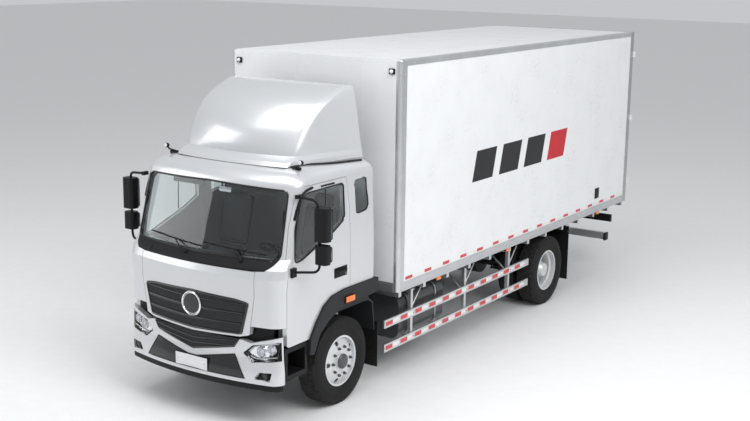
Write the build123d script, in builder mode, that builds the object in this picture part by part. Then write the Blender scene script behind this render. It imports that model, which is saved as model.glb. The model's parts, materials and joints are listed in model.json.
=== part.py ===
"""Two-axle refrigerated box truck, built piece by piece.

Millimetres. +X is the truck's left, -Y its front, +Z up. The origin is on the ground,
in the middle of the truck's length and width.
"""
import os
from math import cos, radians, sin

from build123d import *

# ---- Overall layout -------------------------------------------------------------------
CAB_LENGTH = 1970.0
CAB_BOX_GAP = 270.0
BOX_LENGTH = 6890.0
HINGE_BACK = 30.0    # rear hinge pin centre behind the rear doors' outer face
HINGE_PIN = 10.0
WHEELBASE = 5080.0
FRONT_OVERHANG = 1290.0

OVERALL_LENGTH = CAB_LENGTH + CAB_BOX_GAP + BOX_LENGTH + HINGE_BACK + HINGE_PIN
FRONT_Y = -OVERALL_LENGTH / 2
CAB_BACK_Y = FRONT_Y + CAB_LENGTH
BOX_FRONT_Y = CAB_BACK_Y + CAB_BOX_GAP
BOX_REAR_Y = BOX_FRONT_Y + BOX_LENGTH
FRONT_AXLE_Y = FRONT_Y + FRONT_OVERHANG
REAR_AXLE_Y = FRONT_AXLE_Y + WHEELBASE

GAP = 5.0            # open gap round every moving panel
RUNNING = 0.05       # radial clearance of a pin in its bore

# ---- Wheels and axles -----------------------------------------------------------------
TYRE_RADIUS = 508.0
TYRE_WIDTH = 276.0
RIM_RADIUS = 298.0
RIM_WIDTH = 234.0
RIM_WALL = 11.0
FRONT_WHEEL_X = 1005.0
REAR_OUTER_X = 1107.0
TWIN_SPACING = 310.0
KINGPIN_X = 880.0
KINGPIN_RADIUS = 20.0
EYE_RADIUS = 40.0
SPINDLE_RADIUS = 35.0
REAR_SPINDLE_RADIUS = 55.0
DRUM_RADIUS = 205.0
STUD_CIRCLE = 167.5
STEER_ARM = 170.0
STEER_ARM_X = KINGPIN_X    # ball pins straight behind the kingpins keep the tie rod parallel

# ---- Frame ----------------------------------------------------------------------------
RAIL_X = 430.0
RAIL_BOTTOM = 740.0
RAIL_TOP = 990.0
RAIL_FLANGE = 75.0
RAIL_WALL = 8.0
RAIL_FRONT_SETBACK = 300.0
RAIL_REAR_SETBACK = 345.0
CROSS_DEPTH = 60.0

# ---- Box body -------------------------------------------------------------------------
BOX_WIDTH = 2550.0
BOX_HEIGHT = 2773.0
BOX_BOTTOM = 1117.0
BOX_WALL = 70.0
BOX_FLOOR = 115.0
BOX_ROOF = 80.0
POST_DEPTH = 128.0
POST_RADIUS = 45.0
TOP_RAIL = 72.0
REAR_FRAME = 120.0
REAR_DOOR = 80.0
BEARER_HEIGHT = 70.0
BEARER_PITCH = 500.0
BOX_HALF = BOX_WIDTH / 2
BOX_TOP = BOX_BOTTOM + BOX_HEIGHT
FLOOR_TOP = BOX_BOTTOM + BOX_FLOOR
INNER_HALF = BOX_HALF - BOX_WALL
HINGE_OUT = 15.0     # rear hinge pin centre outside the box's side

# ---- Cab ------------------------------------------------------------------------------
CAB_HALF = 1130.0
CAB_WALL = 55.0
CAB_REAR_CORNER = CAB_WALL + 5
CAB_BOW = 160.0      # how far the front face curves back at the cab's side
CAB_FLOOR_Z = 1150.0
CAB_FLOOR = 50.0
CAB_SKIRT_Z = 925.0
ROOF_SEAM_Z = 2662.0
GLASS = 6.0
GLASS_INSET = 14.0
DOOR_FRONT = 300.0
DOOR_REAR = 1450.0
DOOR_TOP_Z = 2640.0
WAIST_Z = 1760.0
CORNER_PANEL_Z = 1155.0

# Cab outline at each height: height, front setback, back setback, half width, corner.
CAB_BODY = (
    (CAB_SKIRT_Z - 20, 42, 0, CAB_HALF, 200),
    (WAIST_Z - 70, 30, 0, CAB_HALF, 200),
    (WAIST_Z + 25, 62, 0, CAB_HALF, 195),
    (WAIST_Z + 130, 158, 0, CAB_HALF - 2, 190),
    (DOOR_TOP_Z, 360, 8, CAB_HALF - 22, 170),
)
CAB_TOP = (
    (DOOR_TOP_Z, 360, 8, CAB_HALF - 22, 170),
    (2700, 392, 24, CAB_HALF - 42, 170),
    (2750, 450, 52, CAB_HALF - 95, 170),
    (2784, 528, 90, CAB_HALF - 180, 170),
    (2800, 600, 130, CAB_HALF - 280, 170),
)

# ---- Front axle arch, measured from the front axle -------------------------------------
ARCH_TOP_Z = 1190.0
TRIM_TOP_Z = 1355.0
TRIM_OUT = 30.0      # arch trim stands this far outside the cab's side
LINER = 22.0

# ---- Bumper ---------------------------------------------------------------------------
BUMPER_BOTTOM = 523.0
BUMPER_TOP = 1072.0
BUMPER_WALL = 60.0
BUMPER_BACK = 258.0
LIP_BOTTOM = 451.0


def behind(setback):
    """Y of a point this far behind the bumper's face."""
    return FRONT_Y + setback


def block(x, y, z, mode=Mode.ADD):
    """Add a block to the piece in hand, given its low and high X, Y and Z."""
    middle = ((x[0] + x[1]) / 2, (y[0] + y[1]) / 2, (z[0] + z[1]) / 2)
    with Locations(middle):
        Box(abs(x[1] - x[0]), abs(y[1] - y[0]), abs(z[1] - z[0]), mode=mode)


def rod(start, end, radius, mode=Mode.ADD):
    """Add a round bar between two points to the piece in hand."""
    path = Vector(*end) - Vector(*start)
    with BuildSketch(Plane(origin=start, z_dir=path)) as section:
        Circle(radius)
    extrude(section.sketch, amount=path.length, mode=mode)


def side_outline(points, radius=0.0, grow=0.0):
    """Closed outline seen from the side, points as (Y, Z), drawn on the middle plane."""
    with BuildSketch(Plane.YZ) as outline:
        with BuildLine():
            Polyline(*points, close=True)
        make_face()
        if radius:
            fillet(outline.vertices(), radius)
        if grow:
            offset(amount=grow)
    return outline.sketch


def front_outline(points, radius=0.0, grow=0.0):
    """Closed outline seen from the front, points as (X, Z), drawn on the middle plane."""
    with BuildSketch(Plane(origin=(0, 0, 0), x_dir=(1, 0, 0), z_dir=(0, -1, 0))) as outline:
        with BuildLine():
            Polyline(*points, close=True)
        make_face()
        if radius:
            fillet(outline.vertices(), radius)
        if grow:
            offset(amount=grow)
    return outline.sketch


def side_prism(outline, x_low, x_high, mode=Mode.ADD):
    """Extrude a side outline between two X values on the left of the truck."""
    moved = outline.moved(Location((x_low, 0, 0)))
    extrude(moved, amount=x_high - x_low, mode=mode)


def front_prism(outline, y_front, y_back, mode=Mode.ADD):
    """Extrude a front outline between two Y values."""
    moved = outline.moved(Location((0, y_back, 0)))
    extrude(moved, amount=y_back - y_front, mode=mode)


def plan_outline(height, front, back, half, corner, bow=CAB_BOW, rear_corner=40.0):
    """Plan of the cab or bumper at one height: bowed front, straight sides and back."""
    shoulder = front + bow
    with BuildSketch(Plane.XY.offset(height)) as outline:
        with BuildLine():
            Polyline((-half, shoulder), (-half, back), (half, back), (half, shoulder))
            ThreePointArc((half, shoulder), (0, front), (-half, shoulder))
        make_face()
        fillet(outline.vertices().group_by(Axis.Y)[0], corner)
        fillet(outline.vertices().group_by(Axis.Y)[-1], rear_corner)
    return outline.sketch


def cab_solid(inset):
    """Closed form of the cab, shrunk by inset on every side but its underside."""
    def at(section):
        height, front, back, half, corner = section
        top_share = max(0.0, (height - DOOR_TOP_Z) / (CAB_TOP[-1][0] - DOOR_TOP_Z))
        return plan_outline(
            height - inset * top_share, behind(front) + inset, CAB_BACK_Y - back - inset,
            half - inset, corner - inset, rear_corner=CAB_REAR_CORNER - inset)
    with BuildPart() as form:
        loft([at(section) for section in CAB_BODY], ruled=True)
        loft([at(section) for section in CAB_TOP])
    return form.part


def mirrored(piece):
    """The same piece on the truck's right."""
    with BuildPart() as other:
        mirror(piece.part, about=Plane.YZ)
    return other


pieces = {}

# ---- Ladder frame ---------------------------------------------------------------------
RAIL_START_Y = FRONT_Y + RAIL_FRONT_SETBACK
RAIL_END_Y = BOX_REAR_Y - RAIL_REAR_SETBACK
CROSS_PLACES = (
    RAIL_START_Y + CROSS_DEPTH,
    FRONT_AXLE_Y + 480,
    FRONT_AXLE_Y + WHEELBASE * 0.42,
    REAR_AXLE_Y - 900,
    REAR_AXLE_Y + 620,
    RAIL_END_Y - CROSS_DEPTH,
)
with BuildPart() as frame:
    for side in (-1, 1):
        outer = side * RAIL_X
        inner = side * (RAIL_X - RAIL_FLANGE)
        block((outer, inner), (RAIL_START_Y, RAIL_END_Y), (RAIL_BOTTOM, RAIL_TOP))
        block((outer - side * RAIL_WALL, inner - side), (RAIL_START_Y, RAIL_END_Y),
              (RAIL_BOTTOM + RAIL_WALL, RAIL_TOP - RAIL_WALL), mode=Mode.SUBTRACT)
    for place in CROSS_PLACES:
        block((-RAIL_X + RAIL_WALL, RAIL_X - RAIL_WALL),
              (place - CROSS_DEPTH / 2, place + CROSS_DEPTH / 2),
              (RAIL_TOP - 140, RAIL_TOP - RAIL_WALL))
pieces["frame"] = frame

# ---- Engine and gearbox, one plain stepped block ----------------------------------------
ENGINE_HALF = 320.0
ENGINE_BOTTOM = 600.0
ENGINE_TOP = 1310.0
GEARBOX_END_Y = FRONT_AXLE_Y + 950
with BuildPart() as engine:
    block((-ENGINE_HALF, ENGINE_HALF), (FRONT_AXLE_Y - 800, FRONT_AXLE_Y + 290),
          (ENGINE_BOTTOM, ENGINE_TOP))
    block((-170, 170), (FRONT_AXLE_Y + 290, GEARBOX_END_Y), (640, RAIL_TOP - 150))
pieces["engine"] = engine

# ---- Drive shaft ------------------------------------------------------------------------
SHAFT_RADIUS = 50.0
DIFF_NOSE = 330.0
with BuildPart() as drive_shaft:
    rod((0, GEARBOX_END_Y + 4, 740), (0, REAR_AXLE_Y - DIFF_NOSE - 12, TYRE_RADIUS + 30),
        SHAFT_RADIUS)
pieces["drive_shaft"] = drive_shaft

# ---- Front axle beam with its kingpin eyes ------------------------------------------------
BEAM_HALF_DEPTH = 42.0
EYE_LOW = TYRE_RADIUS - 68
EYE_HIGH = TYRE_RADIUS + 62
SPRING_IN = RAIL_X - 80
with BuildPart() as front_axle:
    beam_line = front_outline([
        (-KINGPIN_X, EYE_LOW + 10), (-600, EYE_LOW - 20), (-300, EYE_LOW - 50),
        (300, EYE_LOW - 50), (600, EYE_LOW - 20), (KINGPIN_X, EYE_LOW + 10),
        (KINGPIN_X, EYE_HIGH - 10), (RAIL_X + 20, EYE_HIGH - 22),
        (SPRING_IN - 10, EYE_HIGH - 22), (240, EYE_HIGH - 80), (-240, EYE_HIGH - 80),
        (-SPRING_IN + 10, EYE_HIGH - 22), (-RAIL_X - 20, EYE_HIGH - 22),
        (-KINGPIN_X, EYE_HIGH - 10)])
    front_prism(beam_line, FRONT_AXLE_Y - BEAM_HALF_DEPTH, FRONT_AXLE_Y + BEAM_HALF_DEPTH)
    for side in (-1, 1):
        foot = (side * KINGPIN_X, FRONT_AXLE_Y, EYE_LOW)
        head = (side * KINGPIN_X, FRONT_AXLE_Y, EYE_HIGH)
        rod(foot, head, EYE_RADIUS + 2)
        rod(foot, head, KINGPIN_RADIUS + RUNNING, mode=Mode.SUBTRACT)
        block((side * (KINGPIN_X + EYE_RADIUS), side * (KINGPIN_X + 200)),
              (FRONT_AXLE_Y - 100, FRONT_AXLE_Y + 100), (EYE_LOW, EYE_HIGH),
              mode=Mode.SUBTRACT)
pieces["front_axle"] = front_axle

# ---- Rear axle: housing tube, differential and hub spindles -------------------------------
HOUSING_RADIUS = 70.0
HOUSING_END = REAR_OUTER_X - TWIN_SPACING - TYRE_WIDTH / 2 + 30
REAR_HUB_IN = HOUSING_END + GAP + 5
REAR_SPINDLE_END = REAR_OUTER_X + 35
with BuildPart() as rear_axle:
    rod((-HOUSING_END, REAR_AXLE_Y, TYRE_RADIUS), (HOUSING_END, REAR_AXLE_Y, TYRE_RADIUS),
        HOUSING_RADIUS)
    rod((-REAR_SPINDLE_END, REAR_AXLE_Y, TYRE_RADIUS),
        (REAR_SPINDLE_END, REAR_AXLE_Y, TYRE_RADIUS), REAR_SPINDLE_RADIUS)
    rod((-130, REAR_AXLE_Y, TYRE_RADIUS), (130, REAR_AXLE_Y, TYRE_RADIUS), 205)
    rod((0, REAR_AXLE_Y, TYRE_RADIUS), (0, REAR_AXLE_Y - DIFF_NOSE, TYRE_RADIUS + 30), 95)
pieces["rear_axle"] = rear_axle

# ---- Leaf springs with their hangers -------------------------------------------------------
SPRING_WIDTH = 80.0
SPRING_STACK = 70.0


def leaf_spring(axle_y, seat_z, half_length):
    """One spring pack over an axle, hung from the frame rail above it."""
    eye_z = RAIL_BOTTOM - 60
    with BuildSketch(Plane.YZ.offset(RAIL_X - SPRING_WIDTH)) as pack:
        with BuildLine():
            ends = (axle_y - half_length, axle_y + half_length)
            ThreePointArc((ends[0], eye_z), (axle_y, seat_z + SPRING_STACK), (ends[1], eye_z))
            Line((ends[1], eye_z), (ends[1], eye_z - 14))
            ThreePointArc((ends[1], eye_z - 14), (axle_y, seat_z), (ends[0], eye_z - 14))
            Line((ends[0], eye_z - 14), (ends[0], eye_z))
        make_face()
    extrude(pack.sketch, amount=SPRING_WIDTH)
    for end in ends:
        block((RAIL_X - SPRING_WIDTH, RAIL_X), (end - 30, end + 30), (eye_z - 20, RAIL_BOTTOM))


with BuildPart() as leaf_springs:
    leaf_spring(FRONT_AXLE_Y, EYE_HIGH - 22, 700)
    leaf_spring(REAR_AXLE_Y, TYRE_RADIUS + HOUSING_RADIUS, 760)
    mirror(about=Plane.YZ)
pieces["leaf_springs"] = leaf_springs

# ---- Fuel tank on the left, battery box on the right -----------------------------------------
TANK_FRONT = 300.0
TANK_LENGTH = 1050.0
TANK_OUTER_X = 1095.0
TANK_START_Y = BOX_FRONT_Y + TANK_FRONT
with BuildPart() as fuel_tank:
    with BuildSketch(Plane.XZ.offset(-TANK_START_Y)) as tank_section:
        with Locations(((RAIL_X + 35 + TANK_OUTER_X) / 2, 690)):
            RectangleRounded(TANK_OUTER_X - RAIL_X - 35, 540, 120)
    extrude(tank_section.sketch, amount=-TANK_LENGTH)
    for place in (TANK_START_Y + 230, TANK_START_Y + TANK_LENGTH - 230):
        block((RAIL_X, RAIL_X + 60), (place - 30, place + 30), (RAIL_BOTTOM + 30, RAIL_TOP - 60))
pieces["fuel_tank"] = fuel_tank

with BuildPart() as battery_box:
    block((-TANK_OUTER_X, -RAIL_X - 20), (TANK_START_Y, TANK_START_Y + 680), (480, 940))
    block((-RAIL_X - 20, -RAIL_X), (TANK_START_Y + 80, TANK_START_Y + 600), (RAIL_BOTTOM + 30, 900))
    fillet(battery_box.edges().filter_by(Axis.Y).group_by(Axis.X)[0], 30)
pieces["battery_box"] = battery_box

with BuildPart() as air_tanks:
    for place in (TANK_START_Y + 980, TANK_START_Y + 1330):
        rod((-TANK_OUTER_X + 40, place, 780), (-RAIL_X, place, 780), 125)
    block((-RAIL_X - 40, -RAIL_X), (TANK_START_Y + 980, TANK_START_Y + 1330), (840, 900))
pieces["air_tanks"] = air_tanks


# ---- Wheels ------------------------------------------------------------------------------
def wheel_plane(axle_y):
    """Plane whose X is the axle line and whose Y is the radius."""
    return Plane(origin=(0, axle_y, TYRE_RADIUS), x_dir=(1, 0, 0), z_dir=(0, -1, 0))


def wheel_axis(axle_y):
    """Axis that a wheel turns about."""
    return Axis((0, axle_y, TYRE_RADIUS), (1, 0, 0))


def tyre_ring(axle_y, centre_x):
    """Add one tyre to the piece in hand."""
    half = TYRE_WIDTH / 2
    bead = RIM_WIDTH / 2 - RIM_WALL - 2
    lip = RIM_RADIUS + 2
    seat = RIM_RADIUS - 10
    wall = TYRE_RADIUS - RIM_RADIUS
    with BuildSketch(wheel_plane(axle_y)) as section:
        with BuildLine():
            Polyline((centre_x - bead - 16, lip), (centre_x - bead, lip), (centre_x - bead, seat),
                     (centre_x + bead, seat), (centre_x + bead, lip), (centre_x + bead + 16, lip))
            Spline((centre_x + bead + 16, lip), (centre_x + half, RIM_RADIUS + wall * 0.5),
                   (centre_x + half - 12, TYRE_RADIUS - 22))
            Line((centre_x + half - 12, TYRE_RADIUS - 22), (centre_x + half - 34, TYRE_RADIUS - 4))
            ThreePointArc((centre_x + half - 34, TYRE_RADIUS - 4), (centre_x, TYRE_RADIUS),
                          (centre_x - half + 34, TYRE_RADIUS - 4))
            Line((centre_x - half + 34, TYRE_RADIUS - 4), (centre_x - half + 12, TYRE_RADIUS - 22))
            Spline((centre_x - half + 12, TYRE_RADIUS - 22),
                   (centre_x - half, RIM_RADIUS + wall * 0.5), (centre_x - bead - 16, lip))
        make_face()
    revolve(section.sketch, axis=wheel_axis(axle_y))


def rim_ring(axle_y, centre_x):
    """Add one rim barrel with its two flanges to the piece in hand."""
    half = RIM_WIDTH / 2
    seat = RIM_RADIUS - 12
    well = RIM_RADIUS - 40
    with BuildSketch(wheel_plane(axle_y)) as section:
        with BuildLine():
            Polyline(
                (centre_x - half, RIM_RADIUS), (centre_x - half + RIM_WALL, RIM_RADIUS),
                (centre_x - half + RIM_WALL, seat), (centre_x - 45, seat), (centre_x - 30, well),
                (centre_x + 30, well), (centre_x + 45, seat), (centre_x + half - RIM_WALL, seat),
                (centre_x + half - RIM_WALL, RIM_RADIUS), (centre_x + half, RIM_RADIUS),
                (centre_x + half, seat - RIM_WALL), (centre_x + 50, seat - RIM_WALL),
                (centre_x + 35, well - RIM_WALL), (centre_x - 35, well - RIM_WALL),
                (centre_x - 50, seat - RIM_WALL), (centre_x - half, seat - RIM_WALL), close=True)
        make_face()
    revolve(section.sketch, axis=wheel_axis(axle_y))


def lathe(axle_y, points, mode=Mode.ADD):
    """Turn an outline of (X, radius) points about a wheel's axle line."""
    with BuildSketch(wheel_plane(axle_y)) as section:
        with BuildLine():
            Polyline(*points, close=True)
        make_face()
    revolve(section.sketch, axis=wheel_axis(axle_y), mode=mode)


def hand_holes(axle_y, x, count, circle, radius):
    """Cut a ring of hand holes through a wheel disc whose middle is at x."""
    with BuildSketch(Plane(origin=(x - 60, axle_y, TYRE_RADIUS), z_dir=(1, 0, 0))) as ring:
        with PolarLocations(circle, count, start_angle=90):
            Circle(radius)
    extrude(ring.sketch, amount=120, mode=Mode.SUBTRACT)


DISC_WALL = 13.0
FRONT_HUB_RADIUS = 118.0
HUB_FACE_X = FRONT_WHEEL_X + TYRE_WIDTH / 2 + 2
KNUCKLE_FACE_X = KINGPIN_X + EYE_RADIUS + 30
SPINDLE_END_X = FRONT_WHEEL_X + 60
FRONT_DISC_X = FRONT_WHEEL_X + RIM_WIDTH / 2 - 5
BARREL_RADIUS = RIM_RADIUS - 12 - RIM_WALL / 2

with BuildPart() as tyre_front_left:
    tyre_ring(FRONT_AXLE_Y, FRONT_WHEEL_X)
with BuildPart() as rim_front_left:
    rim_ring(FRONT_AXLE_Y, FRONT_WHEEL_X)
    lathe(FRONT_AXLE_Y, [
        (FRONT_DISC_X - 52, BARREL_RADIUS), (FRONT_DISC_X - 34, BARREL_RADIUS),
        (FRONT_DISC_X - 4, BARREL_RADIUS - 52), (FRONT_DISC_X + DISC_WALL, STUD_CIRCLE + 28),
        (FRONT_DISC_X + DISC_WALL, 0), (FRONT_DISC_X, 0), (FRONT_DISC_X, STUD_CIRCLE + 24),
        (FRONT_DISC_X - 18, BARREL_RADIUS - 52)])
    hand_holes(FRONT_AXLE_Y, FRONT_DISC_X - 5, 5, STUD_CIRCLE + 62, 29)
    lathe(FRONT_AXLE_Y, [
        (KNUCKLE_FACE_X + GAP, 0), (KNUCKLE_FACE_X + GAP, DRUM_RADIUS),
        (FRONT_DISC_X - 40, DRUM_RADIUS), (FRONT_DISC_X - 30, FRONT_HUB_RADIUS + 60),
        (FRONT_DISC_X, FRONT_HUB_RADIUS + 60), (FRONT_DISC_X, 0)])
    lathe(FRONT_AXLE_Y, [
        (FRONT_DISC_X, 0), (FRONT_DISC_X, FRONT_HUB_RADIUS - 28),
        (HUB_FACE_X + 8, FRONT_HUB_RADIUS - 34), (HUB_FACE_X + 16, 60), (HUB_FACE_X + 16, 0)])
    rod((KNUCKLE_FACE_X, FRONT_AXLE_Y, TYRE_RADIUS),
        (SPINDLE_END_X + GAP, FRONT_AXLE_Y, TYRE_RADIUS), SPINDLE_RADIUS + RUNNING,
        mode=Mode.SUBTRACT)

TWIN_MIDDLE_X = REAR_OUTER_X - TWIN_SPACING / 2
REAR_HUB_RADIUS = 120.0
REAR_HUB_END = REAR_SPINDLE_END + 45
with BuildPart() as tyre_rear_left:
    for centre in (REAR_OUTER_X, REAR_OUTER_X - TWIN_SPACING):
        tyre_ring(REAR_AXLE_Y, centre)
with BuildPart() as rim_rear_left:
    for centre in (REAR_OUTER_X, REAR_OUTER_X - TWIN_SPACING):
        rim_ring(REAR_AXLE_Y, centre)
    for face in (1, -1):
        lathe(REAR_AXLE_Y, [
            (TWIN_MIDDLE_X, 0), (TWIN_MIDDLE_X, STUD_CIRCLE + 30),
            (TWIN_MIDDLE_X + face * 22, BARREL_RADIUS - 45),
            (TWIN_MIDDLE_X + face * 62, BARREL_RADIUS), (TWIN_MIDDLE_X + face * 76, BARREL_RADIUS),
            (TWIN_MIDDLE_X + face * 40, BARREL_RADIUS - 50),
            (TWIN_MIDDLE_X + face * DISC_WALL, STUD_CIRCLE + 26), (TWIN_MIDDLE_X + face * DISC_WALL, 0)])
    hand_holes(REAR_AXLE_Y, TWIN_MIDDLE_X, 5, STUD_CIRCLE + 58, 27)
    lathe(REAR_AXLE_Y, [
        (REAR_HUB_IN, 0), (REAR_HUB_IN, DRUM_RADIUS), (TWIN_MIDDLE_X - 70, DRUM_RADIUS),
        (TWIN_MIDDLE_X - 60, REAR_HUB_RADIUS), (REAR_HUB_END - 60, REAR_HUB_RADIUS),
        (REAR_HUB_END, 92), (REAR_HUB_END, 0)])
    rod((REAR_HUB_IN - 5, REAR_AXLE_Y, TYRE_RADIUS),
        (REAR_SPINDLE_END + GAP, REAR_AXLE_Y, TYRE_RADIUS), REAR_SPINDLE_RADIUS + RUNNING,
        mode=Mode.SUBTRACT)

pieces["tyre_front_left"] = tyre_front_left
pieces["tyre_front_right"] = mirrored(tyre_front_left)
pieces["rim_front_left"] = rim_front_left
pieces["rim_front_right"] = mirrored(rim_front_left)
pieces["tyre_rear_left"] = tyre_rear_left
pieces["tyre_rear_right"] = mirrored(tyre_rear_left)
pieces["rim_rear_left"] = rim_rear_left
pieces["rim_rear_right"] = mirrored(rim_rear_left)

# ---- Steering knuckles and tie rod ------------------------------------------------------------
EAR_THICK = 38.0
ARM_LOW = EYE_LOW - EAR_THICK - 2
BALL_PIN = 12.0
ARM_END_Y = FRONT_AXLE_Y + STEER_ARM
TIE_TOP = ARM_LOW - 6
TIE_HEIGHT = 30.0
with BuildPart() as knuckle_left:
    for low, high in ((ARM_LOW, EYE_LOW - 2), (EYE_HIGH + 2, EYE_HIGH + 2 + EAR_THICK)):
        rod((KINGPIN_X, FRONT_AXLE_Y, low), (KINGPIN_X, FRONT_AXLE_Y, high), EYE_RADIUS)
        block((KINGPIN_X, KNUCKLE_FACE_X - 5), (FRONT_AXLE_Y - 55, FRONT_AXLE_Y + 55), (low, high))
    block((KNUCKLE_FACE_X - 24, KNUCKLE_FACE_X), (FRONT_AXLE_Y - 55, FRONT_AXLE_Y + 55),
          (ARM_LOW, EYE_HIGH + 2 + EAR_THICK))
    rod((KINGPIN_X, FRONT_AXLE_Y, ARM_LOW), (KINGPIN_X, FRONT_AXLE_Y, EYE_HIGH + 2 + EAR_THICK),
        KINGPIN_RADIUS)
    rod((KNUCKLE_FACE_X - 10, FRONT_AXLE_Y, TYRE_RADIUS),
        (SPINDLE_END_X, FRONT_AXLE_Y, TYRE_RADIUS), SPINDLE_RADIUS)
    with BuildSketch(Plane.XY.offset(ARM_LOW)) as steer_arm:
        with BuildLine():
            Polyline((KINGPIN_X - 26, FRONT_AXLE_Y), (KINGPIN_X + 26, FRONT_AXLE_Y),
                     (STEER_ARM_X + 24, ARM_END_Y), (STEER_ARM_X - 24, ARM_END_Y), close=True)
        make_face()
        with Locations((STEER_ARM_X, ARM_END_Y)):
            Circle(24)
    extrude(steer_arm.sketch, amount=30)
    rod((STEER_ARM_X, ARM_END_Y, TIE_TOP - TIE_HEIGHT - 4), (STEER_ARM_X, ARM_END_Y, ARM_LOW + 5),
        BALL_PIN)
pieces["knuckle_left"] = knuckle_left
pieces["knuckle_right"] = mirrored(knuckle_left)

with BuildPart() as tie_rod:
    rod((-STEER_ARM_X, ARM_END_Y, TIE_TOP - TIE_HEIGHT / 2),
        (STEER_ARM_X, ARM_END_Y, TIE_TOP - TIE_HEIGHT / 2), TIE_HEIGHT / 2 - 1)
    for side in (-1, 1):
        foot = (side * STEER_ARM_X, ARM_END_Y, TIE_TOP - TIE_HEIGHT)
        head = (side * STEER_ARM_X, ARM_END_Y, TIE_TOP)
        rod(foot, head, 28)
        rod(foot, head, BALL_PIN + RUNNING, mode=Mode.SUBTRACT)
pieces["tie_rod"] = tie_rod

# ---- Box sub-frame: sills along the rails, bearers across them ------------------------------
BEARER_BOTTOM = BOX_BOTTOM - BEARER_HEIGHT
BEARER_COUNT = int(BOX_LENGTH // BEARER_PITCH)
BEARER_STEP = (BOX_LENGTH - 160) / (BEARER_COUNT - 1)
with BuildPart() as box_sills:
    for side in (-1, 1):
        block((side * (RAIL_X - RAIL_FLANGE), side * RAIL_X), (BOX_FRONT_Y + 20, BOX_REAR_Y - 20),
              (RAIL_TOP, BEARER_BOTTOM))
pieces["box_sills"] = box_sills

with BuildPart() as box_bearers:
    for number in range(BEARER_COUNT):
        place = BOX_FRONT_Y + 80 + number * BEARER_STEP
        block((-BOX_HALF + 25, BOX_HALF - 25), (place - 30, place + 30), (BEARER_BOTTOM, BOX_BOTTOM))
pieces["box_bearers"] = box_bearers

# ---- Box body: floor, roof, walls, edge frame and rear doors --------------------------------
CEILING = BOX_TOP - BOX_ROOF
FRAME_FRONT_Y = BOX_REAR_Y - REAR_FRAME
with BuildPart() as box_floor:
    block((-INNER_HALF, INNER_HALF), (BOX_FRONT_Y + BOX_WALL, FRAME_FRONT_Y),
          (BOX_BOTTOM, FLOOR_TOP))
pieces["box_floor"] = box_floor

with BuildPart() as box_roof:
    block((-INNER_HALF, INNER_HALF), (BOX_FRONT_Y, FRAME_FRONT_Y), (CEILING, BOX_TOP))
pieces["box_roof"] = box_roof

with BuildPart() as box_front_wall:
    block((-INNER_HALF, INNER_HALF), (BOX_FRONT_Y, BOX_FRONT_Y + BOX_WALL), (BOX_BOTTOM, CEILING))
pieces["box_front_wall"] = box_front_wall

with BuildPart() as box_side_walls:
    block((INNER_HALF, BOX_HALF - 2), (BOX_FRONT_Y + POST_DEPTH, FRAME_FRONT_Y),
          (FLOOR_TOP, BOX_TOP - TOP_RAIL))
    mirror(about=Plane.YZ)
pieces["box_side_walls"] = box_side_walls

with BuildPart() as box_edge_frame:
    for side in (-1, 1):
        walls = (side * INNER_HALF, side * BOX_HALF)
        block(walls, (BOX_FRONT_Y, FRAME_FRONT_Y), (BOX_BOTTOM, FLOOR_TOP))
        block(walls, (BOX_FRONT_Y, FRAME_FRONT_Y), (BOX_TOP - TOP_RAIL, BOX_TOP))
        block(walls, (BOX_FRONT_Y, BOX_FRONT_Y + POST_DEPTH), (BOX_BOTTOM, BOX_TOP))
    front_corners = box_edge_frame.edges().filter_by(Axis.Z).group_by(Axis.Y)[0]
    fillet(front_corners.group_by(Axis.X)[0] + front_corners.group_by(Axis.X)[-1], POST_RADIUS)
    fillet(box_edge_frame.edges().filter_by(Axis.Y).group_by(Axis.Z)[-1].group_by(Axis.X)[0]
           + box_edge_frame.edges().filter_by(Axis.Y).group_by(Axis.Z)[-1].group_by(Axis.X)[-1], 18)
pieces["box_edge_frame"] = box_edge_frame

DOOR_FRAME_TOP = BOX_TOP - REAR_FRAME
with BuildPart() as rear_frame:
    block((-BOX_HALF, BOX_HALF), (FRAME_FRONT_Y, BOX_REAR_Y), (BOX_BOTTOM, BOX_TOP))
    block((-INNER_HALF, INNER_HALF), (FRAME_FRONT_Y - 1, BOX_REAR_Y + 1), (FLOOR_TOP, DOOR_FRAME_TOP),
          mode=Mode.SUBTRACT)
pieces["rear_frame"] = rear_frame

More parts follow.
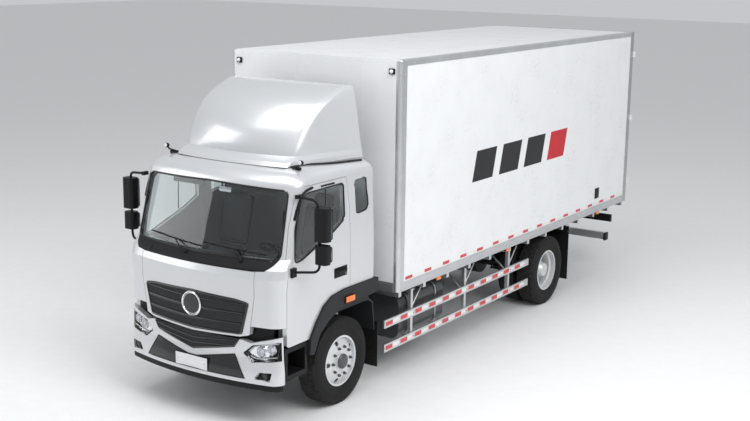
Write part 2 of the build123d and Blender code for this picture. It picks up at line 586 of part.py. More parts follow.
HINGE_X = BOX_HALF + HINGE_OUT
HINGE_Y = BOX_REAR_Y + HINGE_BACK
REAR_HINGE_HEIGHTS = (FLOOR_TOP + 240, (FLOOR_TOP + DOOR_FRAME_TOP) / 2, DOOR_FRAME_TOP - 240)
STRAP_HALF = 45.0
STRAP_THICK = 12.0
LOCK_ROD_RADIUS = 13.0
LOCK_ROD_PLACES = (150.0, 640.0)
with BuildPart() as rear_door_left:
    block((GAP, INNER_HALF - GAP), (BOX_REAR_Y - REAR_DOOR, BOX_REAR_Y),
          (FLOOR_TOP + GAP, DOOR_FRAME_TOP - GAP))
    for height in REAR_HINGE_HEIGHTS:
        block((INNER_HALF - 260, INNER_HALF - GAP), (BOX_REAR_Y, BOX_REAR_Y + STRAP_THICK),
              (height - STRAP_HALF, height + STRAP_HALF))
        block((INNER_HALF - GAP - 10, HINGE_X), (BOX_REAR_Y + GAP + 1, BOX_REAR_Y + STRAP_THICK + 6),
              (height - STRAP_HALF, height + STRAP_HALF))
        rod((HINGE_X, HINGE_Y, height - STRAP_HALF), (HINGE_X, HINGE_Y, height + STRAP_HALF),
            HINGE_PIN)
        block((HINGE_X - HINGE_PIN, HINGE_X + HINGE_PIN), (BOX_REAR_Y + GAP + 1, HINGE_Y),
              (height - STRAP_HALF, height + STRAP_HALF))
    for place in LOCK_ROD_PLACES:
        rod((place, BOX_REAR_Y + 18, FLOOR_TOP + 30), (place, BOX_REAR_Y + 18, DOOR_FRAME_TOP - 30),
            LOCK_ROD_RADIUS)
        for height in (FLOOR_TOP + 60, FLOOR_TOP + 900, DOOR_FRAME_TOP - 60):
            block((place - 35, place + 35), (BOX_REAR_Y, BOX_REAR_Y + 22), (height - 22, height + 22))
pieces["rear_door_left"] = rear_door_left
pieces["rear_door_right"] = mirrored(rear_door_left)

# ---- Cab shell and the cuts that part it into panels ---------------------------------------
cab_outer = cab_solid(0)
cab_inner = cab_solid(CAB_WALL)

door_line = side_outline([
    (behind(DOOR_FRONT), CAB_SKIRT_Z + GAP), (behind(DOOR_FRONT), WAIST_Z - 200),
    (behind(DOOR_FRONT + 42), 1900), (behind(DOOR_FRONT + 108), 2200),
    (behind(DOOR_FRONT + 200), 2500), (behind(DOOR_FRONT + 330), DOOR_TOP_Z),
    (behind(DOOR_REAR - 63), DOOR_TOP_Z), (behind(DOOR_REAR - 8), 2310),
    (behind(DOOR_REAR), 2020), (behind(DOOR_REAR), CAB_SKIRT_Z + GAP)], radius=25)
door_hole = offset(door_line, amount=GAP)
window_line = side_outline([
    (behind(1330), 2572), (behind(1345), 2170), (behind(1145), 2068), (behind(560), 1858),
    (behind(436), 1848), (behind(470), 2200), (behind(578), 2500), (behind(660), 2560)],
    radius=30)
quarter_line = side_outline([
    (behind(1548), 2582), (behind(1795), 2584), (behind(1821), 2205), (behind(1572), 2182)],
    radius=35)
screen_line = front_outline([
    (-998, 2600), (0, 2630), (998, 2600), (1027, 1907), (940, 1884), (0, 1868), (-940, 1884),
    (-1027, 1907)])
cowl_line = front_outline([
    (-1027, 1907), (-940, 1884), (0, 1868), (940, 1884), (1027, 1907), (990, 1835),
    (925, WAIST_Z + 14), (825, WAIST_Z + GAP), (-825, WAIST_Z + GAP), (-925, WAIST_Z + 14),
    (-990, 1835)])
flap_line = front_outline([
    (-820, WAIST_Z), (820, WAIST_Z), (820, 1488), (753, 1052), (640, 1022), (0, 994),
    (-640, 1022), (-753, 1052), (-820, 1488)], radius=12)
grille_line = front_outline([
    (-757, 1412), (-600, 1438), (0, 1459), (600, 1438), (757, 1412), (668, 1052), (0, 1022),
    (-668, 1052)], radius=10)

trim_outer = side_outline([
    (FRONT_AXLE_Y + 700, TRIM_TOP_Z), (FRONT_AXLE_Y + 38, TRIM_TOP_Z),
    (FRONT_AXLE_Y - 200, 1325), (FRONT_AXLE_Y - 356, 1245), (FRONT_AXLE_Y - 500, 1085),
    (FRONT_AXLE_Y - 610, CAB_SKIRT_Z), (FRONT_AXLE_Y - 630, CAB_SKIRT_Z - 170),
    (FRONT_AXLE_Y - 552, CAB_SKIRT_Z - 182), (FRONT_AXLE_Y - 444, 950),
    (FRONT_AXLE_Y - 265, 1075), (FRONT_AXLE_Y - 52, 1160), (FRONT_AXLE_Y + 393, 1172),
    (FRONT_AXLE_Y + 700, ARCH_TOP_Z)])
arch_hole = side_outline([
    (FRONT_AXLE_Y + 740, TRIM_TOP_Z + GAP), (FRONT_AXLE_Y + 38, TRIM_TOP_Z + GAP),
    (FRONT_AXLE_Y - 203, 1331), (FRONT_AXLE_Y - 361, 1250), (FRONT_AXLE_Y - 506, 1088),
    (FRONT_AXLE_Y - 618, CAB_SKIRT_Z), (FRONT_AXLE_Y - 618, CAB_SKIRT_Z - 60),
    (FRONT_AXLE_Y + 740, CAB_SKIRT_Z - 60)])

SIDE_CUT = CAB_HALF - 130
WIDE = CAB_HALF + 100
with BuildPart() as side_openings:
    for outline in (window_line, quarter_line, arch_hole):
        side_prism(outline, SIDE_CUT, WIDE)
    mirror(about=Plane.YZ)
with BuildPart() as cab_shell:
    add(cab_outer)
    add(cab_inner, mode=Mode.SUBTRACT)
    add(side_openings.part, mode=Mode.SUBTRACT)
    front_prism(screen_line, FRONT_Y - 10, behind(700), mode=Mode.SUBTRACT)
    block((-WIDE, WIDE), (FRONT_Y - 10, CAB_BACK_Y + 10), (0, CAB_SKIRT_Z + GAP), mode=Mode.SUBTRACT)

with BuildPart() as door_left:
    side_prism(door_line, SIDE_CUT, WIDE)
    add(cab_shell.part, mode=Mode.INTERSECT)
with BuildPart() as cab_open:
    add(cab_shell.part)
    side_prism(door_hole, SIDE_CUT, WIDE, mode=Mode.SUBTRACT)
    split(bisect_by=Plane.YZ, keep=Keep.TOP)
    mirror(about=Plane.YZ)
pieces["door_left"] = door_left
pieces["door_right"] = mirrored(door_left)

SPLIT_Y = behind(800)
BACK_WALL_Y = CAB_BACK_Y - CAB_WALL - 40
with BuildPart() as cab_roof:
    block((-WIDE, WIDE), (FRONT_Y, CAB_BACK_Y + 10), (ROOF_SEAM_Z, 3000))
    add(cab_open.part, mode=Mode.INTERSECT)
pieces["cab_roof"] = cab_roof

with BuildPart() as cab_back_wall:
    block((-WIDE, WIDE), (BACK_WALL_Y, CAB_BACK_Y + 10), (CORNER_PANEL_Z, ROOF_SEAM_Z))
    add(cab_open.part, mode=Mode.INTERSECT)
pieces["cab_back_wall"] = cab_back_wall

with BuildPart() as cab_sides:
    block((-WIDE, WIDE), (SPLIT_Y, BACK_WALL_Y), (CAB_SKIRT_Z, ROOF_SEAM_Z))
    add(cab_open.part, mode=Mode.INTERSECT)
pieces["cab_sides"] = cab_sides

FIREWALL = 25.0
FIREWALL_FRONT = behind(250)
with BuildPart() as firewall:
    block((-CAB_HALF, CAB_HALF), (FIREWALL_FRONT, FIREWALL_FRONT + FIREWALL),
          (CAB_FLOOR_Z + CAB_FLOOR, WAIST_Z + 70))
    add(cab_solid(CAB_WALL - 10), mode=Mode.INTERSECT)
with BuildPart() as cab_front:
    block((-WIDE, WIDE), (FRONT_Y - 10, SPLIT_Y), (CORNER_PANEL_Z, ROOF_SEAM_Z))
    add(cab_open.part, mode=Mode.INTERSECT)
    front_prism(offset(flap_line, amount=GAP), FRONT_Y - 20, behind(300), mode=Mode.SUBTRACT)
    add(firewall.part)
    front_prism(cowl_line, FRONT_Y - 20, FIREWALL_FRONT - 1, mode=Mode.SUBTRACT)
pieces["cab_front"] = cab_front

with BuildPart() as cowl:
    front_prism(cowl_line, FRONT_Y - 20, FIREWALL_FRONT - 1)
    add(cab_outer, mode=Mode.INTERSECT)
    add(cab_inner, mode=Mode.SUBTRACT)
pieces["cowl"] = cowl

# ---- Front service flap with its grille ------------------------------------------------------
with BuildPart() as flap_blank:
    add(cab_outer)
    add(cab_inner, mode=Mode.SUBTRACT)
    front_prism(flap_line, FRONT_Y - 20, behind(260), mode=Mode.INTERSECT)
with BuildPart() as front_flap:
    add(flap_blank.part)
    front_prism(grille_line, FRONT_Y - 20, behind(300), mode=Mode.SUBTRACT)
pieces["front_flap"] = front_flap
with BuildPart() as grille:
    add(flap_blank.part)
    front_prism(grille_line, FRONT_Y - 20, behind(300), mode=Mode.INTERSECT)
pieces["grille"] = grille

# ---- Cab glass ---------------------------------------------------------------------------------
glass_outer = cab_solid(GLASS_INSET)
glass_inner = cab_solid(GLASS_INSET + GLASS)
with BuildPart() as quarter_glass:
    side_prism(quarter_line, SIDE_CUT, WIDE)
    add(glass_outer, mode=Mode.INTERSECT)
    add(glass_inner, mode=Mode.SUBTRACT)
    mirror(about=Plane.YZ)
with BuildPart() as cab_glass:
    front_prism(screen_line, FRONT_Y - 10, behind(700))
    add(glass_outer, mode=Mode.INTERSECT)
    add(glass_inner, mode=Mode.SUBTRACT)
    add(quarter_glass.part)
with BuildPart() as door_glass_left:
    side_prism(window_line, SIDE_CUT, WIDE)
    add(glass_outer, mode=Mode.INTERSECT)
    add(glass_inner, mode=Mode.SUBTRACT)
pieces["cab_glass"] = cab_glass
pieces["door_glass_left"] = door_glass_left
pieces["door_glass_right"] = mirrored(door_glass_left)

# ---- Cab floor with its engine tunnel and door sills ------------------------------------------
TUNNEL_HALF = ENGINE_HALF + 60
TUNNEL_TOP = ENGINE_TOP + 90
FLOOR_HALF = CAB_HALF - CAB_WALL - 30
FLOOR_FRONT = behind(300)
FLOOR_BACK = CAB_BACK_Y - CAB_WALL - 45
with BuildPart() as cab_floor:
    block((-FLOOR_HALF, FLOOR_HALF), (FLOOR_FRONT, FLOOR_BACK), (CAB_FLOOR_Z, CAB_FLOOR_Z + CAB_FLOOR))
    block((-TUNNEL_HALF, TUNNEL_HALF), (behind(560), FLOOR_BACK), (CAB_FLOOR_Z, TUNNEL_TOP))
    block((-TUNNEL_HALF + 40, TUNNEL_HALF - 40), (FLOOR_FRONT - 1, FLOOR_BACK + 1),
          (CAB_FLOOR_Z - 1, TUNNEL_TOP - 40), mode=Mode.SUBTRACT)
    block((-TUNNEL_HALF, TUNNEL_HALF), (FLOOR_FRONT, behind(600)), (TUNNEL_TOP - 40, TUNNEL_TOP))
    block((-TUNNEL_HALF, -TUNNEL_HALF + 40), (FLOOR_FRONT, behind(600)), (CAB_FLOOR_Z, TUNNEL_TOP))
    block((TUNNEL_HALF - 40, TUNNEL_HALF), (FLOOR_FRONT, behind(600)), (CAB_FLOOR_Z, TUNNEL_TOP))
    for side in (-1, 1):
        block((side * (FLOOR_HALF - 40), side * FLOOR_HALF), (FLOOR_FRONT, FRONT_AXLE_Y - 620),
              (CAB_SKIRT_Z, CAB_FLOOR_Z))
pieces["cab_floor"] = cab_floor

# ---- Entry steps under the doors ---------------------------------------------------------------
STEP_BOTTOM = 550.0
STEP_FRONT = behind(BUMPER_BACK + 6)
STEP_BACK = FRONT_AXLE_Y - 640
with BuildPart() as entry_steps:
    block((CAB_HALF - 280, CAB_HALF - 6), (STEP_FRONT, STEP_BACK), (STEP_BOTTOM, CAB_SKIRT_Z - 6))
    block((CAB_HALF - 230, CAB_HALF), (STEP_FRONT + 40, STEP_BACK - 40),
          (STEP_BOTTOM + 60, CAB_SKIRT_Z - 60), mode=Mode.SUBTRACT)
    block((RAIL_X, CAB_HALF - 280), (STEP_FRONT + 40, STEP_FRONT + 100), (RAIL_BOTTOM + 60, 880))
    mirror(about=Plane.YZ)
pieces["entry_steps"] = entry_steps

# ---- Wheel arches: outer trim, liner over the tyre and mudguard behind it -----------------------
LINER_INNER_X = 600.0
liner_line = side_outline([
    (FRONT_AXLE_Y - 600, 770), (FRONT_AXLE_Y - 482, 975), (FRONT_AXLE_Y - 285, 1098),
    (FRONT_AXLE_Y - 60, 1128), (FRONT_AXLE_Y + 560, 1128), (FRONT_AXLE_Y + 655, 1060),
    (FRONT_AXLE_Y + 700, 700), (FRONT_AXLE_Y + 700 - LINER, 700), (FRONT_AXLE_Y + 635, 1046),
    (FRONT_AXLE_Y + 552, 1106), (FRONT_AXLE_Y - 55, 1106), (FRONT_AXLE_Y - 275, 1078),
    (FRONT_AXLE_Y - 466, 958), (FRONT_AXLE_Y - 578, 762)])
with BuildPart() as wheel_arches:
    side_prism(trim_outer, CAB_HALF - CAB_WALL + 10, CAB_HALF + TRIM_OUT)
    side_prism(liner_line, LINER_INNER_X, CAB_HALF - CAB_WALL + 40)
    block((CAB_HALF - CAB_WALL - 90, CAB_HALF - CAB_WALL + 40),
          (FRONT_AXLE_Y - 40, FRONT_AXLE_Y + 560), (1106, 1148))
    mirror(about=Plane.YZ)
pieces["wheel_arches"] = wheel_arches

# ---- Front bumper, headlamps, lower grille and the black beam behind ---------------------------
BUMPER_FORM = (
    (BUMPER_BOTTOM, 0, BUMPER_BACK, CAB_HALF - 4, 150),
    (BUMPER_BOTTOM + 120, 12, BUMPER_BACK, CAB_HALF - 4, 150),
    (BUMPER_BOTTOM + 270, 44, BUMPER_BACK, CAB_HALF - 6, 150),
    (BUMPER_TOP, 50, BUMPER_BACK, CAB_HALF - 12, 150),
)


def bumper_solid(inset):
    """Closed form of the bumper, shrunk by inset at its front and sides."""
    with BuildPart() as form:
        loft([plan_outline(height, behind(front) + inset, behind(back + 300), half - inset,
                           corner - inset, rear_corner=4.0)
              for height, front, back, half, corner in BUMPER_FORM], ruled=True)
        block((-WIDE, WIDE), (behind(BUMPER_BACK), behind(BUMPER_BACK + 400)), (0, 2000),
              mode=Mode.SUBTRACT)
    return form.part


with BuildPart() as bumper_skin:
    add(bumper_solid(0))
    add(bumper_solid(BUMPER_WALL), mode=Mode.SUBTRACT)
LAMP = ((674, 840), (785, 938), (1068, 996), (1150, 1000), (1150, 800), (1045, 790), (790, 752))
LOWER_GRILLE = ((640, 1080), (632, 1012), (565, 890), (0, 776))
lamp_line = front_outline(LAMP, radius=14)
lower_line = front_outline(
    list(LOWER_GRILLE) + [(-x, z) for x, z in reversed(LOWER_GRILLE[:-1])])
lip_line = front_outline([
    (660, 1080), (650, 1000), (592, 865), (0, 732), (-592, 865), (-650, 1000), (-660, 1080)])
PLATE_SPACING = 390.0
PLATE_HOLE = 3.5
PLATE_Z = 639.0
FOG_LAMP = ((826, 585), (878, 652), (1030, 664), (1012, 562))
FOG_POCKET_DEPTH = 25.0
with BuildPart() as fog_pockets:
    for side in (-1, 1):
        fog_line = front_outline([(side * x, z) for x, z in FOG_LAMP], radius=8)
        front_prism(fog_line, FRONT_Y - 20, behind(240))
    add(bumper_solid(FOG_POCKET_DEPTH), mode=Mode.SUBTRACT)
with BuildPart() as front_bumper:
    add(bumper_skin.part)
    for side in (-1, 1):
        top_cut = front_outline([(side * x, z) for x, z in (
            (0, 1200), (0, 990), (660, 985), (760, 960), (CAB_HALF + 20, BUMPER_TOP - 2),
            (CAB_HALF + 20, 1200))])
        front_prism(top_cut, FRONT_Y - 20, behind(BUMPER_BACK + 20), mode=Mode.SUBTRACT)
        lamp_hole = front_outline([(side * x, z) for x, z in LAMP], radius=14, grow=3)
        front_prism(lamp_hole, FRONT_Y - 20, behind(240), mode=Mode.SUBTRACT)
    add(fog_pockets.part, mode=Mode.SUBTRACT)
    front_prism(lower_line, FRONT_Y - 20, behind(240), mode=Mode.SUBTRACT)
    with BuildSketch(Plane.XZ.offset(-behind(-20))) as plate_holes:
        with Locations((-PLATE_SPACING / 2, PLATE_Z), (PLATE_SPACING / 2, PLATE_Z)):
            Circle(PLATE_HOLE)
    extrude(plate_holes.sketch, amount=-140, mode=Mode.SUBTRACT)
pieces["front_bumper"] = front_bumper

with BuildPart() as lower_grille:
    add(bumper_skin.part)
    front_prism(lower_line, FRONT_Y - 20, behind(240), mode=Mode.INTERSECT)
    block((-700, 700), (FRONT_Y, behind(400)), (990, 1200), mode=Mode.SUBTRACT)
pieces["lower_grille"] = lower_grille

with BuildPart() as headlamps:
    add(bumper_skin.part)
    front_prism(lamp_line, FRONT_Y - 20, behind(240), mode=Mode.INTERSECT)
    mirror(about=Plane.YZ)
pieces["headlamps"] = headlamps

BEAM_FRONT = 118.0
BEAM_WALL = 30.0
LIP_TOP = BUMPER_BOTTOM - 2
with BuildPart() as under_lip:
    lip_plan = plan_outline(LIP_BOTTOM, behind(20), behind(600), CAB_HALF - 20, 140,
                            rear_corner=2.0)
    extrude(lip_plan, amount=LIP_TOP - LIP_BOTTOM)
    hollow_plan = plan_outline(LIP_BOTTOM, behind(BEAM_FRONT) + BEAM_WALL, behind(600),
                               CAB_HALF - BUMPER_WALL - 18 - BEAM_WALL, 90, rear_corner=2.0)
    extrude(hollow_plan, amount=LIP_TOP - LIP_BOTTOM, mode=Mode.SUBTRACT)
with BuildPart() as bumper_beam:
    for cut, shrink in ((Mode.ADD, 0), (Mode.SUBTRACT, BEAM_WALL)):
        beam_plan = plan_outline(LIP_BOTTOM, behind(BEAM_FRONT) + shrink, behind(600),
                                 CAB_HALF - BUMPER_WALL - 18 - shrink, 120 - shrink,
                                 rear_corner=2.0)
        extrude(beam_plan, amount=CORNER_PANEL_Z - 12 - LIP_BOTTOM, mode=cut)
    add(under_lip.part)
    block((-WIDE, WIDE), (behind(BUMPER_BACK), behind(700)), (0, 2000), mode=Mode.SUBTRACT)
    for side in (-1, 1):
        block((side * (RAIL_X - RAIL_FLANGE), side * RAIL_X), (behind(BEAM_FRONT + 40), RAIL_START_Y),
              (RAIL_BOTTOM + 20, RAIL_TOP - 20))
pieces["bumper_beam"] = bumper_beam

# ---- Cab interior -------------------------------------------------------------------------------
with BuildPart() as dashboard:
    dash_line = side_outline([
        (behind(290), 1405), (behind(290), 1800), (behind(430), 1800), (behind(600), 1700),
        (behind(600), 1560), (behind(500), 1405)], radius=25)
    side_prism(dash_line, -CAB_HALF + CAB_WALL + 40, CAB_HALF - CAB_WALL - 40)
pieces["dashboard"] = dashboard

DRIVER_X = 580.0
SEAT_X = DRIVER_X + 50
SEAT_WIDTH = 500.0
with BuildPart() as seats:
    for side in (-1, 1):
        low, high = sorted((side * (SEAT_X - SEAT_WIDTH / 2), side * (SEAT_X + SEAT_WIDTH / 2)))
        seat_line = side_outline([
            (behind(1010), 1460), (behind(1010), 1600), (behind(1430), 1600), (behind(1570), 2330),
            (behind(1700), 2330), (behind(1590), 1480), (behind(1480), 1460)], radius=30)
        side_prism(seat_line, low, high)
        block((low + 60, high - 60), (behind(1080), behind(1450)), (CAB_FLOOR_Z + CAB_FLOOR, 1470))
pieces["seats"] = seats

WHEEL_RADIUS = 225.0
WHEEL_TUBE = 16.0
COLUMN_TILT = 32.0
WHEEL_CENTRE = (DRIVER_X + 50, behind(770), 1840)
column_dir = (0, sin(radians(COLUMN_TILT)), cos(radians(COLUMN_TILT)))
with BuildPart() as steering_wheel:
    wheel_face = Plane(origin=WHEEL_CENTRE, x_dir=(1, 0, 0), z_dir=column_dir)
    with BuildSketch(Plane(origin=WHEEL_CENTRE, x_dir=(1, 0, 0), z_dir=wheel_face.y_dir)) as tube:
        with Locations((WHEEL_RADIUS - WHEEL_TUBE, 0)):
            Circle(WHEEL_TUBE)
    revolve(tube.sketch, axis=Axis(WHEEL_CENTRE, column_dir))
    with BuildSketch(wheel_face.offset(-12)) as spokes:
        Rectangle(2 * (WHEEL_RADIUS - WHEEL_TUBE), 44)
        with Locations((0, -(WHEEL_RADIUS - WHEEL_TUBE) / 2)):
            Rectangle(40, WHEEL_RADIUS - WHEEL_TUBE)
        Circle(62)
    extrude(spokes.sketch, amount=18)
    with BuildSketch(wheel_face.offset(-120)) as stub:
        Circle(34)
    extrude(stub.sketch, amount=115)
pieces["steering_wheel"] = steering_wheel

# ---- Roof fairing ---------------------------------------------------------------------------------
FAIRING_REAR_Y = CAB_BACK_Y - 160
FAIRING_WALL = 18.0
# Height, setback of the middle, setback of the corner, corner and rear half widths, radius.
FAIRING_BRIM = (
    (2805, 606, 690, 800, 1040, 70),
    (2850, 640, 730, 805, 1035, 90),
    (2905, 740, 860, 800, 1020, 130),
)
FAIRING_BODY = (
    (2905, 740, 860, 800, 1020, 130),
    (3000, 742, 905, 815, 1005, 150),
    (3170, 800, 1010, 830, 980, 150),
    (3320, 920, 1130, 845, 955, 150),
    (3460, 1110, 1330, 860, 930, 150),
    (3560, 1370, 1560, 860, 905, 120),
    (3610, 1600, 1700, 850, 880, 60),
)


def fairing_solid(inset):
    """Closed form of the roof fairing, shrunk by inset."""
    def at(section):
        height, middle, corner_back, corner_half, rear_half, radius = section
        rear = FAIRING_REAR_Y + inset
        with BuildSketch(Plane.XY.offset(height - inset * (height > 3500))) as outline:
            with BuildLine():
                corner = (corner_half - inset, behind(corner_back) + inset)
                Polyline((-corner[0], corner[1]), (-rear_half + inset, rear),
                         (rear_half - inset, rear), corner)
                ThreePointArc(corner, (0, behind(middle) + inset), (-corner[0], corner[1]))
            make_face()
            fillet(outline.vertices().group_by(Axis.Y)[0], radius - inset)
        return outline.sketch
    with BuildPart() as form:
        loft([at(section) for section in FAIRING_BRIM], ruled=True)
        loft([at(section) for section in FAIRING_BODY])
    return form.part


with BuildPart() as roof_fairing:
    add(fairing_solid(0))
    add(fairing_solid(FAIRING_WALL), mode=Mode.SUBTRACT)
pieces["roof_fairing"] = roof_fairing

# ---- Mirrors on the doors ------------------------------------------------------------------------
MIRROR_OUT = 1500.0
MIRROR_IN = 1330.0
MIRROR_Y = behind(545)
with BuildPart() as mirror_left:
    with BuildSketch(Plane.XY.offset(2105)) as main_head:
        with Locations(((MIRROR_OUT + MIRROR_IN) / 2, MIRROR_Y)):
            RectangleRounded(MIRROR_OUT - MIRROR_IN, 130, 45)
    extrude(main_head.sketch, amount=365)
    with BuildSketch(Plane.XY.offset(1855)) as low_head:
        with Locations(((MIRROR_OUT + MIRROR_IN) / 2, MIRROR_Y)):
            RectangleRounded(MIRROR_OUT - MIRROR_IN - 10, 120, 45)
    extrude(low_head.sketch, amount=205)
    with BuildLine() as arm_path:
        FilletPolyline(
            (CAB_HALF - 12, behind(DOOR_FRONT + 190), 2560), (1360, behind(500), 2545),
            (1385, behind(525), 2400), (1385, behind(525), 1765),
            (CAB_HALF - 2, behind(DOOR_FRONT + 90), 1752), radius=70)
    with BuildSketch(Plane(origin=arm_path.line @ 0, z_dir=arm_path.line % 0)) as arm_section:
        Circle(14)
    sweep(arm_section.sketch, path=arm_path.line)
    block((CAB_HALF - 2, CAB_HALF + 26), (behind(DOOR_FRONT + 50), behind(DOOR_FRONT + 130)), (1700, 1800))
    block((CAB_HALF - 22, CAB_HALF + 14), (behind(DOOR_FRONT + 160), behind(DOOR_FRONT + 240)),
          (2540, 2580))
    add(cab_outer, mode=Mode.SUBTRACT)
pieces["mirror_left"] = mirror_left
pieces["mirror_right"] = mirrored(mirror_left)

# ---- Side guards between the axles ---------------------------------------------------------------
GUARD_OUT = 1200.0
GUARD_THICK = 25.0
GUARD_HEIGHT = 100.0
GUARD_START = BOX_FRONT_Y - 170
GUARD_END = REAR_AXLE_Y - TYRE_RADIUS - 45
GUARD_POST_SHARES = (0.171, 0.523, 0.850)
with BuildPart() as side_guards:
    for low in (400.0, 700.0):
        block((GUARD_OUT - GUARD_THICK, GUARD_OUT), (GUARD_START, GUARD_END), (low, low + GUARD_HEIGHT))
    for share in GUARD_POST_SHARES:
        place = GUARD_START + share * (GUARD_END - GUARD_START)
        block((GUARD_OUT - GUARD_THICK - 45, GUARD_OUT - GUARD_THICK), (place - 25, place + 25),
              (400, BEARER_BOTTOM))
        block((RAIL_X, GUARD_OUT - GUARD_THICK - 45), (place - 25, place + 25),
              (BEARER_BOTTOM - 50, BEARER_BOTTOM))
    mirror(about=Plane.YZ)
pieces["side_guards"] = side_guards

# ---- Rear underrun bar, lamp bar and mudflaps --------------------------------------------------------
UNDERRUN_Y = BOX_REAR_Y - 400
with BuildPart() as underrun_bar:
    block((-1150, 1150), (UNDERRUN_Y, UNDERRUN_Y + 60), (505, 620))
    for side in (-1, 1):
        block((side * (RAIL_X + 2), side * (RAIL_X + 26)), (UNDERRUN_Y - 100, UNDERRUN_Y + 50),
              (560, RAIL_TOP - 20))
        block((side * RAIL_X, side * (RAIL_X + 2)), (UNDERRUN_Y - 60, UNDERRUN_Y + 40),
              (RAIL_BOTTOM + 20, RAIL_TOP - 40))
pieces["underrun_bar"] = underrun_bar

with BuildPart() as lamp_bar:
    block((-1180, 1180), (RAIL_END_Y, RAIL_END_Y + 55), (800, 920))
    fillet(lamp_bar.edges().filter_by(Axis.X), 12)
pieces["lamp_bar"] = lamp_bar

FLAP_THICK = 12.0
with BuildPart() as mudflaps:
    front_place = FRONT_AXLE_Y + 712
    block((880, CAB_HALF + 10), (front_place, front_place + FLAP_THICK), (235, 800))
    block((FRONT_WHEEL_X - 40, FRONT_WHEEL_X + 40), (FRONT_AXLE_Y + 700, front_place), (720, 790))
    rear_place = REAR_AXLE_Y + 690
    block((REAR_OUTER_X - TWIN_SPACING - 130, REAR_OUTER_X + 130),
          (rear_place, rear_place + FLAP_THICK), (220, BEARER_BOTTOM))
    block((RAIL_X, REAR_OUTER_X + 130), (rear_place - 40, rear_place),
          (BEARER_BOTTOM - 90, BEARER_BOTTOM - 50))
    mirror(about=Plane.YZ)
pieces["mudflaps"] = mudflaps

# ---- Write every piece ---------------------------------------------------------------------------------
os.makedirs("parts", exist_ok=True)
for name, piece in pieces.items():
    piece.part.label = name
    export_step(piece.part, f"parts/{name}.step")
print(len(pieces), "pieces,", round(OVERALL_LENGTH), "mm long")
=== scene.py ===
"""Looks of the two-axle refrigerated box truck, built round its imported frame.

Metres. +X is the truck's left, -Y its front, +Z up, origin on the ground in the middle.
"""

import json
import logging
import math
from dataclasses import dataclass
from enum import Enum
from typing import Any, Iterable, Sequence

import bpy
from mathutils import Matrix, Vector
from mathutils.bvhtree import BVHTree

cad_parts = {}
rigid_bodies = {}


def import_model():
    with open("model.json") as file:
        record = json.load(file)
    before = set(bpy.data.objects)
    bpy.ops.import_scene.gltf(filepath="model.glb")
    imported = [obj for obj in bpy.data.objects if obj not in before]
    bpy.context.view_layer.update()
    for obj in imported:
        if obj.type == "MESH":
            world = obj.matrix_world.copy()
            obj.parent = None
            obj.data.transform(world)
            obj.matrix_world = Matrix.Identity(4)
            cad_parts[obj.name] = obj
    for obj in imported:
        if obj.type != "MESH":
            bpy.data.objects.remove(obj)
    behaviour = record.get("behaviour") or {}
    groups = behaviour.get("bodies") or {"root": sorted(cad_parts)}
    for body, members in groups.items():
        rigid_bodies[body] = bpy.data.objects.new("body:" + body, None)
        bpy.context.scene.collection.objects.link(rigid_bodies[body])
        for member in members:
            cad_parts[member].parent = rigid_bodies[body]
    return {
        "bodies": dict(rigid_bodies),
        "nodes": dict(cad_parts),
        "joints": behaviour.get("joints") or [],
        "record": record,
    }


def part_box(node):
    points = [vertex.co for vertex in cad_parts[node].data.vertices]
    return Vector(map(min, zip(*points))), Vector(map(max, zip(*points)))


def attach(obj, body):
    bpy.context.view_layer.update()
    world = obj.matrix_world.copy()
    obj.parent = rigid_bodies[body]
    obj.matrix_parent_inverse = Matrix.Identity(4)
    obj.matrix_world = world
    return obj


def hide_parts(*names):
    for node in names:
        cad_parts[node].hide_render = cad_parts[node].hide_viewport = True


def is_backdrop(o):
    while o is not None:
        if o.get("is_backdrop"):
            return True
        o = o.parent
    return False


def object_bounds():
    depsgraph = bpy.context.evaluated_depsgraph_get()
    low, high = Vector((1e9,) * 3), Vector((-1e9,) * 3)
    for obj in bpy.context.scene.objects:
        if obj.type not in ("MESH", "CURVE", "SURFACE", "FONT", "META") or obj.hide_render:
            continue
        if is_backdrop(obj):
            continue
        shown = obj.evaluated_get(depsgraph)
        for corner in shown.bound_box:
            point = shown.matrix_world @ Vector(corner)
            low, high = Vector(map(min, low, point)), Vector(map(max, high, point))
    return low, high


log = logging.getLogger("truck")

FRONT = -4.585
FRONT_AXLE = -3.295
REAR_AXLE = 1.785
AXLE_HEIGHT = 0.508
BOX_FRONT = -2.345
BOX_REAR = 4.545
BOX_SIDE = 1.275

Point = Sequence[float]


class Side(Enum):
    """Left or right of the truck, as the sign of X."""

    LEFT = 1
    RIGHT = -1

    @property
    def tag(self) -> str:
        """The side's name as it ends a piece's name."""
        return self.name.lower()


class Texture(Enum):
    """What a surface's fine relief looks like."""

    GRAIN = "grain"
    BRUSHED = "brushed"
    ORANGE_PEEL = "orange_peel"
    WEAVE = "weave"
    CAST = "cast"
    MESH = "mesh"


# ---- Shader nodes --------------------------------------------------------------------------


